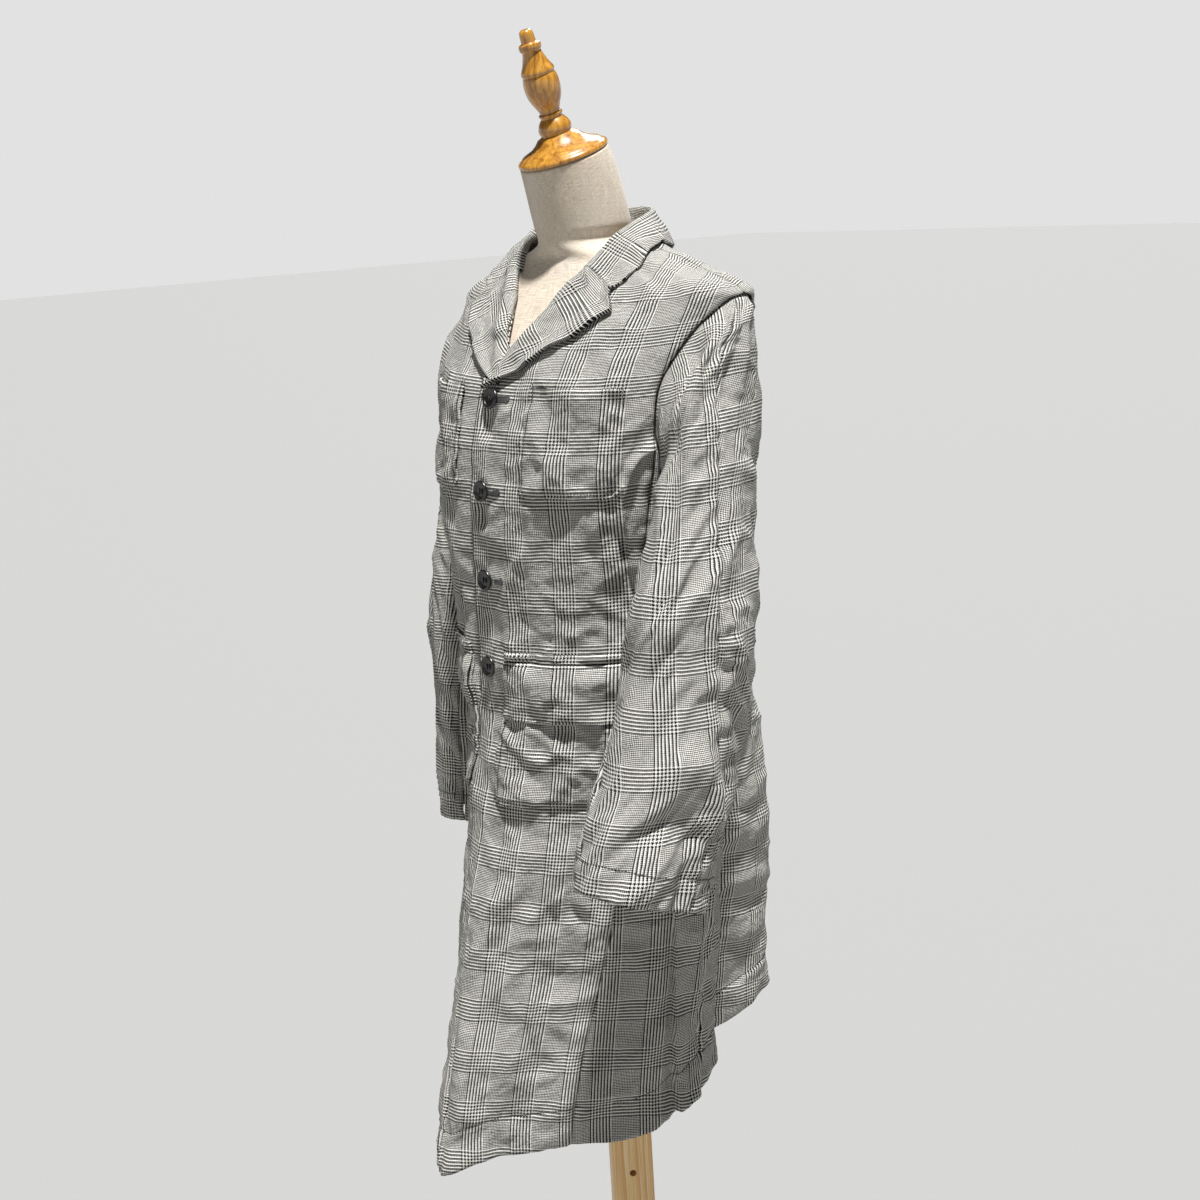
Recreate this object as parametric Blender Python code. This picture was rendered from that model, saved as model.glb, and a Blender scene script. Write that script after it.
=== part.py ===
"""Half coat on a limbless dress form.

Metres, +Z up.  The coat's front faces -Y and the wearer's left is +X.
The origin is on the floor, at the centre of the stand's foot.

Every body panel is a wall on one surface, body(angle, level):
  angle  degrees round the coat from the centre front (0) past the
         wearer's left side (90) to the centre back (180); the right
         side has negative angles
  level  nominal height; the hem climbs towards the back, so the true
         height is the level plus a lift
"""
import math

import bmesh
import bpy
from mathutils import Matrix, Vector

# ---------------------------------------------------------------- driving sizes
CLOTH = 0.0015              # thickness of a cloth wall
SEAM = 0.0004               # space left between two sewn pieces
LAY = 0.0014                # space under a piece that lies on another one
TUCK = 0.0042               # the sleeve head lies this deep under the shoulder's edge

HEM_LEVEL = 0.520           # hem at the centre front
NOTCH_LEVEL = 1.205         # where the side panel meets the armhole
ARM_LEVEL = 1.250           # middle of the armhole
ARM_HALF = 0.085            # half the armhole's height
ARM_ROUND = 0.80            # 1 for an elliptic armhole, less for a squarer one
ARM_FIT = 0.968             # size of the sleeve's upper edge, to the armhole
SLEEVE_SWELL = 0.008        # roundness of the sleeve head
SHOULDER_LEVEL = ARM_LEVEL + ARM_HALF
BREAK_LEVEL = 1.266         # where the lapels start to turn
EDGE_X = -0.020             # left front's edge, past the centre front
UNDERLAP_X = 0.022          # right front's edge, hidden under the left front
UNDERLAP_DEPTH = 0.0042     # the right front lies this much deeper there

BUTTON_LEVELS = (1.248, 1.165, 1.081, 0.995)
BUTTON_RADIUS = 0.0100

POST_SIDE = 0.042
POST_TURN = math.radians(54)
POST_TOP = 0.7897          # just under the form
FOOT_RADIUS = 0.200
FOOT_HEIGHT = 0.030
NECK_TILT = math.radians(18)

# Sections of the coat, hem to neck: level, front y, back y, side y, half width
# on the left and right, squareness of the two front quarters and of the back.
SECTIONS = (
    # level  front    back    side   left   right  n_left n_right n_back
    (0.520, -0.236,  0.140, -0.030, 0.146, 0.146, 1.25, 1.25, 1.8),
    (0.700, -0.193,  0.140, -0.018, 0.157, 0.148, 1.45, 1.30, 1.9),
    (0.850, -0.155,  0.130, -0.008, 0.162, 0.148, 1.80, 1.40, 2.0),
    (0.960, -0.135,  0.118,  0.000, 0.160, 0.149, 2.10, 1.60, 2.1),
    (1.060, -0.131,  0.104,  0.000, 0.150, 0.146, 2.10, 2.00, 2.1),
    (1.165, -0.127,  0.108,  0.000, 0.164, 0.153, 2.30, 2.30, 2.2),
    (1.250, -0.110,  0.110,  0.005, 0.173, 0.158, 2.30, 2.30, 2.2),
    (1.300, -0.081,  0.101,  0.018, 0.184, 0.166, 2.30, 2.30, 2.2),
    (1.335, -0.052,  0.086,  0.026, 0.195, 0.176, 2.20, 2.20, 2.2),
    (1.360, -0.036,  0.074,  0.024, 0.132, 0.126, 2.00, 2.00, 2.1),
    (1.380, -0.029,  0.064,  0.020, 0.080, 0.080, 2.00, 2.00, 2.0),
    (1.400, -0.025,  0.060,  0.018, 0.060, 0.060, 2.00, 2.00, 2.0),
)

# Hanging folds: angle at the top and at the hem, level where the fold fades
# out, how far it stands out (or in, below zero) at the hem, half width.
FOLDS = (
    # top    hem    fades  out     half
    (  20.,   12., 1.15,  0.006,  7.),
    (  40.,   30., 1.00, -0.006,  8.),
    (  78.,   72., 1.05,  0.010, 12.),
    ( 104.,  118., 1.08, -0.038, 11.),
    ( 135.,  142., 1.10,  0.016, 12.),
    ( 165.,  166., 1.00, -0.012,  9.),
    ( -38.,  -32., 1.00, -0.006,  9.),
    ( -80.,  -74., 1.05,  0.012, 12.),
    (-106., -119., 1.08, -0.034, 11.),
    (-137., -144., 1.10,  0.015, 12.),
)

LIFT_AT_BACK = 0.120        # the hem is this much higher at the back
LIFT_FADES = 1.15           # level at which the lift has gone

# Lapel: where its roll line and its outer edge lie on the front, as
# distance from the centre front and level.
LAPEL = (
    # roll x  level   edge x  level
    (-0.014, 1.263, -0.0155, 1.257),
    ( 0.003, 1.286,  0.022,  1.269),
    ( 0.020, 1.311,  0.053,  1.286),
    ( 0.036, 1.338,  0.083,  1.305),
    ( 0.047, 1.353,  0.108,  1.322),
    ( 0.053, 1.361,  0.093,  1.341),
)

# Collar, from its front end to the centre back: the top of the fold (x, y, z)
# and where the fall's outer edge lies on the coat (angle, level).
COLLAR = (
    # fold x    y       z     angle  level
    (0.0560, -0.0305, 1.3710,  31.0, 1.347),
    (0.0600, -0.0200, 1.3790,  47.0, 1.357),
    (0.0660, -0.0040, 1.3890,  59.0, 1.364),
    (0.0680,  0.0140, 1.3975,  74.0, 1.371),
    (0.0640,  0.0330, 1.4030, 100.0, 1.376),
    (0.0530,  0.0500, 1.4065, 126.0, 1.373),
    (0.0360,  0.0620, 1.4080, 148.0, 1.368),
    (0.0160,  0.0680, 1.4085, 168.0, 1.365),
    (0.0000,  0.0690, 1.4085, 180.0, 1.364),
)
COLLAR_LIE = 0.0021         # the fall's edge above the coat under it
STAND_FOOT = 1.3892         # lower edge of the collar's stand
COLLAR_ROLL = 0.0042        # radius of the collar's fold

# Sleeves, armhole to cuff: height, how far the outer side is above the
# middle, centre x and y, half width across and along, back edge lower by.
SLEEVE_LEFT = (
    # z      outer   x      y      across along  drop
    (1.208, 0.074, 0.1880, -0.015, 0.023, 0.053, 0.000),
    (1.166, 0.050, 0.1940, -0.032, 0.031, 0.057, 0.002),
    (1.112, 0.018, 0.2020, -0.053, 0.039, 0.060, 0.006),
    (1.060, 0.000, 0.2090, -0.070, 0.048, 0.062, 0.008),
    (1.015, 0.000, 0.2090, -0.076, 0.048, 0.061, 0.010),
    (0.968, 0.000, 0.2090, -0.091, 0.047, 0.060, 0.014),
    (0.915, 0.000, 0.2090, -0.110, 0.049, 0.062, 0.018),
    (0.872, 0.000, 0.2080, -0.129, 0.050, 0.064, 0.020),
    (0.822, 0.000, 0.2070, -0.146, 0.048, 0.062, 0.022),
)
SLEEVE_RIGHT = (
    # z      outer   x       y      across along  drop
    (1.208, 0.074, -0.1810,  0.016, 0.023, 0.051, 0.000),
    (1.166, 0.050, -0.1880,  0.023, 0.031, 0.056, 0.000),
    (1.112, 0.018, -0.1960,  0.025, 0.039, 0.058, 0.000),
    (1.060, 0.000, -0.2050,  0.020, 0.046, 0.059, 0.000),
    (1.015, 0.000, -0.2060,  0.016, 0.046, 0.059, 0.000),
    (0.968, 0.000, -0.2060,  0.014, 0.046, 0.059, 0.002),
    (0.915, 0.000, -0.2060,  0.014, 0.047, 0.060, 0.004),
    (0.850, 0.000, -0.2050,  0.012, 0.047, 0.061, 0.006),
    (0.778, 0.000, -0.2040,  0.008, 0.046, 0.060, 0.008),
)
# Places round a sleeve in degrees, 0 on its outer side and 90 at the back: the
# top piece, then the under piece, which ends at the top piece's first place.
SLEEVE_TOP_TURNS = (-140, -128, -116, -103, -90, -76, -62, -45, -27, -8)
SLEEVE_UNDER_TURNS = (-8, 9, 26, 44, 62, 76, 90, 103, 116, 134, 156, 180, 201, 220)
SEAM_SWING = 26.0           # the seams swing back by this many degrees, elbow to cuff

# Pieces laid on the left front, as the x of the inner and outer edge at the
# top, the same at the bottom, and the level of the top and bottom.  The right
# front has the same, but no nearer to the centre than RIGHT_STARTS.
CHEST_POCKET = (0.052, 0.140, 0.046, 0.138, 1.258, 1.163)
HIP_POCKET = (0.022, 0.130, 0.012, 0.126, 1.000, 0.862)
FLAP = (0.026, 0.136, 0.022, 0.134, 1.004, 0.945)
RIGHT_STARTS = 0.027
WELT = (0.026, 0.138, 0.026, 0.138, 1.014, 1.0055)

# Dress form: level and how far the form lies inside the coat there.
FORM = (
    # level  inside
    (0.790, 0.048),
    (0.800, 0.036),
    (0.830, 0.027),
    (0.900, 0.022),
    (0.970, 0.026),
    (1.060, 0.036),
    (1.120, 0.020),
    (1.165, 0.012),
    (1.220, 0.0100),
    (1.260, 0.0090),
    (1.295, 0.0075),
    (1.320, 0.0050),
    (1.335, 0.0030),
    (1.348, 0.0026),
    (1.360, 0.0026),
    (1.371, 0.0028),
)
FORM_SHOULDER_X = 0.145     # outside this the form's shoulders are drawn in
FORM_SIDES = 36
NECK_RINGS = (
    # z       y      radius
    (1.3820, 0.0130, 0.0465),
    (1.4000, 0.0090, 0.0455),
    (1.4200, 0.0040, 0.0450),
    (1.4450, -0.0030, 0.0440),
    (1.4620, -0.0090, 0.0425),
)
# Turned cap on the neck: height along its axis and radius.
CAP_PROFILE = (
    (0.0000, 0.0410), (0.0010, 0.0432), (0.0045, 0.0432), (0.0060, 0.0400),
    (0.0080, 0.0380), (0.0130, 0.0270), (0.0200, 0.0190), (0.0225, 0.0145),
    (0.0270, 0.0158), (0.0330, 0.0140), (0.0375, 0.0100), (0.0400, 0.0115),
    (0.0425, 0.0096), (0.0460, 0.0106), (0.0540, 0.0145), (0.0640, 0.0168),
    (0.0730, 0.0166), (0.0780, 0.0150), (0.0800, 0.0160), (0.0840, 0.0145),
    (0.0930, 0.0105), (0.0990, 0.0088), (0.1010, 0.0104), (0.1060, 0.0104),
    (0.1075, 0.0070), (0.1150, 0.0066), (0.1190, 0.0045),
)


# ---------------------------------------------------------------- small helpers
def smooth(t):
    """Ease from 0 to 1."""
    t = min(1.0, max(0.0, t))
    return t * t * (3.0 - 2.0 * t)


def table_at(table, key):
    """Read a table of rows at a value of its first column, rounded between rows."""
    rows = sorted(table)
    key = min(rows[-1][0], max(rows[0][0], key))
    low = max(i for i in range(len(rows) - 1) if rows[i][0] <= key)
    span = rows[low + 1][0] - rows[low][0]
    t = (key - rows[low][0]) / span

    def slope(i, column):
        if i in (0, len(rows) - 1):
            return 0.0
        before = (rows[i][column] - rows[i - 1][column]) / (rows[i][0] - rows[i - 1][0])
        after = (rows[i + 1][column] - rows[i][column]) / (rows[i + 1][0] - rows[i][0])
        return 0.0 if before * after <= 0 else 2 * before * after / (before + after)

    values = []
    for column in range(1, len(rows[0])):
        a, b = rows[low][column], rows[low + 1][column]
        ma, mb = slope(low, column) * span, slope(low + 1, column) * span
        values.append(a + t * ma + t * t * (3 * (b - a) - 2 * ma - mb)
                      + t ** 3 * (2 * (a - b) + ma + mb))
    return values


def line_at(points, t):
    """Point a share t of the way through a list of rows, straight between them."""
    place = t * (len(points) - 1)
    low = min(len(points) - 2, int(place))
    return [a + (b - a) * (place - low) for a, b in zip(points[low], points[low + 1])]


def steps(first, last, count):
    """Evenly spaced values, both ends included."""
    return [first + (last - first) * i / (count - 1) for i in range(count)]


# ---------------------------------------------------------------- the coat's surface
def ring_point(angle, level, plain=False):
    """Point of the smooth section at a level, before the folds."""
    front, back, side, left, right, n_left, n_right, n_back = table_at(SECTIONS, level)
    if plain:
        left = right = min(left, right)
        n_left = n_right = 2.1
    angle = (angle + 180.0) % 360.0 - 180.0
    turn = math.radians(abs(angle))
    depth, n = (front - side, n_left if angle >= 0 else n_right)
    if abs(angle) > 90:
        depth, n = back - side, n_back
    x = (left if angle >= 0 else right) * max(0.0, math.sin(turn)) ** (2 / n)
    y = side + depth * abs(math.cos(turn)) ** (2 / n)
    return Vector((math.copysign(x, angle), y, 0.0))


def fold_depth(angle, level):
    """How far the hanging folds push the cloth out at a place."""
    total = 0.0
    for top, hem, fades, out, half in FOLDS:
        drop = (fades - level) / (fades - HEM_LEVEL)
        if drop > 0:
            middle = top + (hem - top) * drop
            away = (angle - middle + 180.0) % 360.0 - 180.0
            total += out * smooth(drop) * math.exp(-(away / half) ** 2)
    return total


def body(angle, level, out=0.0):
    """Point of the coat's outer face, moved out along the section's normal."""
    point = ring_point(angle, level)
    ahead, behind = ring_point(angle + 0.5, level), ring_point(angle - 0.5, level)
    along = (ahead - behind).normalized()
    point += Vector((along.y, -along.x, 0.0)) * fold_depth(angle, level)
    front = table_at(SECTIONS, HEM_LEVEL)[0]
    back = table_at(SECTIONS, HEM_LEVEL)[1]
    lift = LIFT_AT_BACK * smooth((LIFT_FADES - level) / (LIFT_FADES - HEM_LEVEL))
    point.z = level + lift * (point.y - front) / (back - front)
    if out:
        point += body_normal(angle, level) * out
    return point


def body_normal(angle, level):
    """Outward direction of the coat's face."""
    across = body(angle + 1.0, level) - body(angle - 1.0, level)
    up = body(angle, level + 0.004) - body(angle, level - 0.004)
    return across.cross(up).normalized()


def angle_of(x, level):
    """Angle at which the front of a section has a given distance x."""
    low, high = (0.0, 90.0) if x >= 0 else (-90.0, 0.0)
    for _ in range(30):
        middle = (low + high) / 2
        low, high = (middle, high) if ring_point(middle, level).x < x else (low, middle)
    return (low + high) / 2


def armhole(turn):
    """Angle from the side and level of the armhole: turn 0 is the shoulder,
    90 the back, 180 the underarm, -90 the front."""
    sine, cosine = math.sin(math.radians(turn)), math.cos(math.radians(turn))
    reach = 24.0 if sine > 0 else 26.0
    return math.copysign(reach * abs(sine) ** ARM_ROUND, sine), ARM_LEVEL + ARM_HALF * cosine


def armhole_reach(level, reach):
    """How many degrees from the side the armhole lies at a level."""
    cosine = (level - ARM_LEVEL) / ARM_HALF
    return reach * max(0.0, 1 - cosine * cosine) ** (ARM_ROUND / 2)


def seam_front(level):
    """Angle of the seam between front and side panel."""
    top = 90.0 - armhole_reach(NOTCH_LEVEL, 26.0)
    return 46.0 + (top - 46.0) * (level - HEM_LEVEL) / (NOTCH_LEVEL - HEM_LEVEL)


def seam_back(level):
    """Angle of the seam between side and back panel."""
    top = 90.0 + armhole_reach(NOTCH_LEVEL, 24.0)
    return 108.0 + (top - 108.0) * (level - HEM_LEVEL) / (NOTCH_LEVEL - HEM_LEVEL)


# ---------------------------------------------------------------- making solids
def material(name, colour, roughness):
    """A plain Principled material."""
    made = bpy.data.materials.new(name)
    made.use_nodes = True
    shader = made.node_tree.nodes["Principled BSDF"]
    shader.inputs["Base Color"].default_value = (*colour, 1.0)
    shader.inputs["Roughness"].default_value = roughness
    return made


def add_object(name, vertices, faces, finish):
    """Put a mesh in the scene, its four-sided faces split along the shorter
    diagonal and all faces pointing out."""
    halves = []
    for face in faces:
        if len(face) != 4:
            halves.append(face)
            continue
        a, b, c, d = face
        if (vertices[a] - vertices[c]).length <= (vertices[b] - vertices[d]).length:
            halves += [(a, b, c), (a, c, d)]
        else:
            halves += [(a, b, d), (b, c, d)]
    mesh = bpy.data.meshes.new(name)
    mesh.from_pydata([tuple(v) for v in vertices], [], halves)
    mesh.update()
    made = bpy.data.objects.new(name, mesh)
    made.data.materials.append(finish)
    bpy.context.scene.collection.objects.link(made)
    shape = bmesh.new()
    shape.from_mesh(mesh)
    bmesh.ops.recalc_face_normals(shape, faces=shape.faces)
    if shape.calc_volume(signed=True) < 0:
        bmesh.ops.reverse_faces(shape, faces=shape.faces)
    shape.to_mesh(mesh)
    shape.free()
    mesh.shade_smooth()
    mesh.set_sharp_from_angle(angle=math.radians(40))
    return made


def face_pair(angle, level, out=0.0, thickness=CLOTH):
    """Outer and inner point of a wall that follows the coat's surface."""
    normal = body_normal(angle, level)
    place = body(angle, level)
    return place + normal * out, place + normal * (out - thickness)


def thickened(grid, turned=False, thickness=CLOTH):
    """Pairs of outer and inner points from a grid of outer points."""
    rows, columns = len(grid), len(grid[0])
    pairs = []
    for i in range(rows):
        row = []
        for j in range(columns):
            up = grid[min(i + 1, rows - 1)][j] - grid[max(i - 1, 0)][j]
            across = grid[i][min(j + 1, columns - 1)] - grid[i][max(j - 1, 0)]
            out = across.cross(up).normalized() * (-1.0 if turned else 1.0)
            row.append((grid[i][j], grid[i][j] - out * thickness))
        pairs.append(row)
    return pairs


def wall(name, pairs, finish):
    """A cloth wall between a grid of outer points and one of inner points."""
    rows, columns = len(pairs), len(pairs[0])
    count = rows * columns
    outer = [pair[0] for row in pairs for pair in row]
    inner = [pair[1] for row in pairs for pair in row]
    faces = []
    for i in range(rows - 1):
        for j in range(columns - 1):
            a = i * columns + j
            faces.append((a, a + 1, a + columns + 1, a + columns))
            faces.append((a + count, a + columns + count, a + columns + 1 + count,
                          a + 1 + count))
    border = [j for j in range(columns)]
    border += [i * columns + columns - 1 for i in range(1, rows)]
    border += [(rows - 1) * columns + j for j in range(columns - 2, -1, -1)]
    border += [i * columns for i in range(rows - 2, 0, -1)]
    for a, b in zip(border, border[1:] + border[:1]):
        faces.append((b, a, a + count, b + count))
    return add_object(name, outer + inner, faces, finish)


def trimmed(row, first=SEAM / 2, last=SEAM / 2):
    """A row of pairs with its two ends drawn in, to leave room at the seams."""
    row = list(row)
    draw = (row[1][0] - row[0][0]).normalized() * first
    row[0] = (row[0][0] + draw, row[0][1] + draw)
    draw = (row[-2][0] - row[-1][0]).normalized() * last
    row[-1] = (row[-1][0] + draw, row[-1][1] + draw)
    return row


def turned_solid(name, rings, finish):
    """A solid through closed rings of points, capped at both ends."""
    count = len(rings[0])
    vertices = [p for ring in rings for p in ring]
    faces = []
    for i in range(len(rings) - 1):
        for j in range(count):
            k = (j + 1) % count
            faces.append((i * count + j, i * count + k,
                          (i + 1) * count + k, (i + 1) * count + j))
    faces.append(tuple(reversed(range(count))))
    faces.append(tuple((len(rings) - 1) * count + j for j in range(count)))
    return add_object(name, vertices, faces, finish)


def circle(radius, height, sides, place=Matrix()):
    """A ring of points round the Z axis, then placed."""
    return [place @ Vector((radius * math.cos(math.tau * i / sides),
                            radius * math.sin(math.tau * i / sides), height))
            for i in range(sides)]


# ---------------------------------------------------------------- body panels
SKIRT_ROWS = steps(HEM_LEVEL, NOTCH_LEVEL, 19)
UPPER_ROWS = [1.225, 1.245, 1.266, 1.282, 1.295, 1.306, 1.316, 1.324, 1.3305,
              SHOULDER_LEVEL, 1.342, 1.351, 1.361, 1.371, 1.379, 1.386]
NECK_SIDE_X = 0.065         # front's free edge where it meets the shoulder seam


def neckline_x(level):
    """Distance of the left front's free edge from the centre front."""
    if level <= BREAK_LEVEL:
        return EDGE_X
    first, last = LAPEL[0], LAPEL[-1]
    if level > last[1]:
        share = (level - last[1]) / (UPPER_ROWS[-1] - last[1])
        return last[0] + (NECK_SIDE_X - last[0]) * share
    share = (level - BREAK_LEVEL) / (last[1] - BREAK_LEVEL)
    return first[0] + (last[0] - first[0]) * share


def front_right_border(level):
    """Angle of the front's outer border: side seam, armhole, shoulder seam."""
    if level <= NOTCH_LEVEL:
        return seam_front(level)
    if level < SHOULDER_LEVEL:
        return 90.0 - armhole_reach(level, 26.0)
    return 90.0


def back_border(level):
    """Angle of the back's outer border: side seam, armhole, shoulder seam."""
    if level <= NOTCH_LEVEL:
        return seam_back(level)
    if level < SHOULDER_LEVEL:
        return 90.0 + armhole_reach(level, 24.0)
    return 90.0


def front_panel(side, columns=11):
    """Front from its free edge to the side, hem to shoulder seam."""
    grid = []
    for level in SKIRT_ROWS + UPPER_ROWS:
        if side > 0 or level > BREAK_LEVEL:
            start = angle_of(neckline_x(level), level)
        else:
            start = angle_of(-UNDERLAP_X, level)
        row = []
        for angle in steps(start, front_right_border(level), columns):
            under = 0.0
            if side < 0 and level <= BREAK_LEVEL + 0.03:
                x = ring_point(angle, level).x
                under = -UNDERLAP_DEPTH * smooth((0.048 - x) / 0.024)
            row.append(face_pair(side * angle, level, under))
        grid.append(trimmed(row))
    return grid


def side_panel(side, columns=6):
    """Side from hem to armhole."""
    grid = []
    for i, level in enumerate(SKIRT_ROWS):
        first, last = seam_front(level), seam_back(level)
        row = []
        for angle in steps(first, last, columns):
            reach = abs(angle - 90.0) / (26.0 if angle < 90 else 24.0)
            top = ARM_LEVEL - ARM_HALF * math.sqrt(max(0.0, 1 - reach ** (2 / ARM_ROUND)))
            share = (level - HEM_LEVEL) / (NOTCH_LEVEL - HEM_LEVEL)
            dip = (min(top, NOTCH_LEVEL) - NOTCH_LEVEL) * smooth((share - 0.6) / 0.4)
            row.append(face_pair(side * angle, level + dip))
        grid.append(trimmed(row))
    return grid


def back_panel(side, columns=9):
    """Back from the side to the centre back seam, hem to shoulder seam."""
    grid = []
    for level in SKIRT_ROWS + UPPER_ROWS:
        row = [face_pair(side * angle, level)
               for angle in steps(back_border(level), 180.0, columns)]
        grid.append(trimmed(row))
    return grid


# ---------------------------------------------------------------- lapels, collar
def lapel(side):
    """The turned-back top of the front, lying on the front."""
    grid = []
    for i in range(0 if side > 0 else 2, 11):
        roll_x, roll_level, edge_x, edge_level = line_at(LAPEL, i / 10)
        row = []
        for w in (0.0, 0.06, 0.18, 0.4, 0.65, 0.85, 1.0):
            x = roll_x + (edge_x - roll_x) * w
            level = roll_level + (edge_level - roll_level) * w
            soft = 0.0035 * math.exp(-((w - 0.12) / 0.16) ** 2) * smooth(i / 3)
            lie = CLOTH + SEAM + LAY * smooth(4 * min(w, 1 - w)) + soft
            row.append(face_pair(side * angle_of(x, level), level, lie))
        grid.append(row)
    return grid


def collar():
    """Fall and stand of the collar in one folded wall, left end to right end."""
    columns = []
    shares = [i / 12 for i in range(12)]
    places = [(1, t) for t in shares] + [(1, 1.0)] + [(-1, t) for t in reversed(shares)]
    for side, share in places:
        x, y, z, angle, level = line_at(COLLAR, share)
        fold = Vector((side * x, y, z))
        edge = body(side * angle, level, COLLAR_LIE)
        away = Vector((edge.x - fold.x, edge.y - fold.y, 0.0)).normalized()
        around = Vector((-away.y, away.x, 0.0))
        out = (edge - fold).normalized().cross(around)
        out = out if out.z > 0 else -out
        foot = max(STAND_FOOT, z - 0.018) if z > STAND_FOOT + 0.004 else z - 0.004
        lean = away * COLLAR_ROLL
        column = [fold - lean * 1.6 + Vector((0.0, 0.0, foot - z)),
                  fold - lean * 1.2 + Vector((0.0, 0.0, (foot - z) * 0.5)),
                  fold - lean * 0.8,
                  fold + Vector((0.0, 0.0, COLLAR_ROLL * 0.8)),
                  fold + lean * 0.8 + out * 0.001]
        for w in (0.3, 0.55, 0.8, 1.0):
            column.append(fold.lerp(edge, w) + out * (0.0035 * math.sin(math.pi * w)))
        columns.append(column)
    return thickened(columns)


# ---------------------------------------------------------------- sleeves
def sleeve_ring(table, row, turn):
    """Point of a sleeve's section, turn 0 on its outer side, 90 at the back."""
    z, outer, x, y, across, along, drop = row
    turn += SEAM_SWING * smooth((1.04 - z) / 0.14)
    sine, cosine = math.sin(math.radians(turn)), math.cos(math.radians(turn))
    side = math.copysign(1.0, x)
    return Vector((x + side * across * cosine, y + along * sine,
                   z + outer * cosine - drop * sine))


def sleeve_top(side, turn):
    """Point of the sleeve's upper edge, just inside the armhole and deeper
    under the shoulder's edge at the top."""
    swing, level = armhole(turn)
    deep = TUCK * smooth(math.cos(math.radians(turn)) * 1.4)
    level = ARM_LEVEL + (level - ARM_LEVEL) * ARM_FIT
    return body(side * (90.0 + swing * ARM_FIT), level, -deep)


def sleeve(side, table, pieces):
    """Walls of a sleeve's pieces, armhole to cuff, from one closed tube."""
    turns = list(pieces[0][:-1]) + list(pieces[1][:-1])
    rows = [table[0]]
    for upper, lower in zip(table[:3], table[1:4]):
        rows += [[(a + b) / 2 for a, b in zip(upper, lower)], lower]
    rows += list(table[4:])
    edge = [sleeve_top(side, turn) for turn in turns]
    start = [point + Vector((side * 0.0035, 0.0, 0.0)) for point in edge]
    ring = [sleeve_ring(table, table[0], turn) for turn in turns]
    grid = [edge, start]
    for share in (0.3, 0.65):
        row = []
        for turn, a, b in zip(turns, start, ring):
            head = max(0.0, math.cos(math.radians(turn)))
            swell = SLEEVE_SWELL * math.sin(math.pi * share) * head
            row.append(a.lerp(b, share) + Vector((side * swell, 0.0, swell * 0.6)))
        grid.append(row)
    for row in rows:
        grid.append([sleeve_ring(table, row, turn) for turn in turns])
    grid = [row + row[:2] for row in reversed(grid)]
    grid = [[row[-3]] + row for row in grid]
    tube = [row[1:-1] for row in thickened(grid, side < 0)]
    split = len(pieces[0])
    return ([trimmed(row[:split]) for row in tube],
            [trimmed(row[split - 1:]) for row in tube])


# ---------------------------------------------------------------- pieces laid on
def patch(side, sizes, lie, rows, columns, rounding=0.0, thickness=CLOTH):
    """A flat piece laid on the front between two x and two levels."""
    inner_top, outer_top, inner_foot, outer_foot, top, bottom = sizes
    grid = []
    for level in steps(bottom, top, rows):
        corner = 0.0
        if rounding and level - bottom < rounding:
            lack = rounding - (level - bottom)
            corner = rounding - math.sqrt(max(0.0, rounding ** 2 - lack ** 2))
            corner = min(corner, rounding * 0.75)
        share = (level - bottom) / (top - bottom)
        inner_x = inner_foot + (inner_top - inner_foot) * share
        outer_x = outer_foot + (outer_top - outer_foot) * share
        if side < 0:
            inner_x = max(inner_x, RIGHT_STARTS)
        row = []
        for x in steps(inner_x + corner, outer_x - corner, columns):
            row.append(face_pair(side * angle_of(x, level), level, lie + thickness,
                                 thickness))
        grid.append(row)
    return grid


def button(name, level, finish):
    """A round button with a raised rim, sewn at the centre front."""
    out = body_normal(0.0, level)
    seat = body(0.0, level, SEAM)
    place = Matrix.Translation(seat) @ out.to_track_quat("Z", "Y").to_matrix().to_4x4()
    profile = ((0.000, 0.60), (0.0006, 0.85), (0.0022, 1.00), (0.0036, 0.93),
               (0.0036, 0.78), (0.0026, 0.66))
    rings = [circle(BUTTON_RADIUS * share, height, 16, place) for height, share in profile]
    return turned_solid(name, rings, finish)


# ---------------------------------------------------------------- form and stand
def dress_form(finish):
    """Limbless torso and neck, smooth and whole."""
    rings = []
    for level, inside in FORM:
        ring = []
        for i in range(FORM_SIDES):
            angle = -180.0 + 360.0 * i / FORM_SIDES
            plain = level < 1.2
            point = ring_point(angle, level, plain)
            ahead, behind = ring_point(angle + 2, level, plain), ring_point(angle - 2, level, plain)
            along = (ahead - behind).normalized()
            out = Vector((along.y, -along.x, 0.0))
            if level > 1.2:
                out = body_normal(angle, level)
            point.z = level
            point -= out * inside
            over = abs(point.x) - FORM_SHOULDER_X
            if over > 0:
                point.x = math.copysign(FORM_SHOULDER_X + over * 0.3, point.x)
            ring.append(point)
        rings.append(ring)
    for z, y, radius in NECK_RINGS:
        tilt = NECK_TILT * smooth((z - 1.38) / 0.06)
        place = (Matrix.Translation((0.0, y, z)) @ Matrix.Rotation(tilt, 4, "X"))
        ring = []
        for i in range(FORM_SIDES):
            angle = math.radians(-180.0 + 360.0 * i / FORM_SIDES)
            ring.append(place @ Vector((radius * math.sin(angle),
                                        -radius * math.cos(angle), 0.0)))
        rings.append(ring)
    return turned_solid("form_body", rings, finish)


def neck_cap(finish):
    """Turned wooden cap on the neck."""
    z, y, _ = NECK_RINGS[-1]
    tilt = Matrix.Rotation(NECK_TILT, 4, "X")
    lift = tilt @ Vector((0.0, 0.0, 0.0003))
    place = Matrix.Translation(Vector((0.0, y, z)) + lift) @ tilt
    rings = [circle(radius, height, 20, place) for height, radius in CAP_PROFILE]
    return turned_solid("form_neck_cap", rings, finish)


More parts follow.
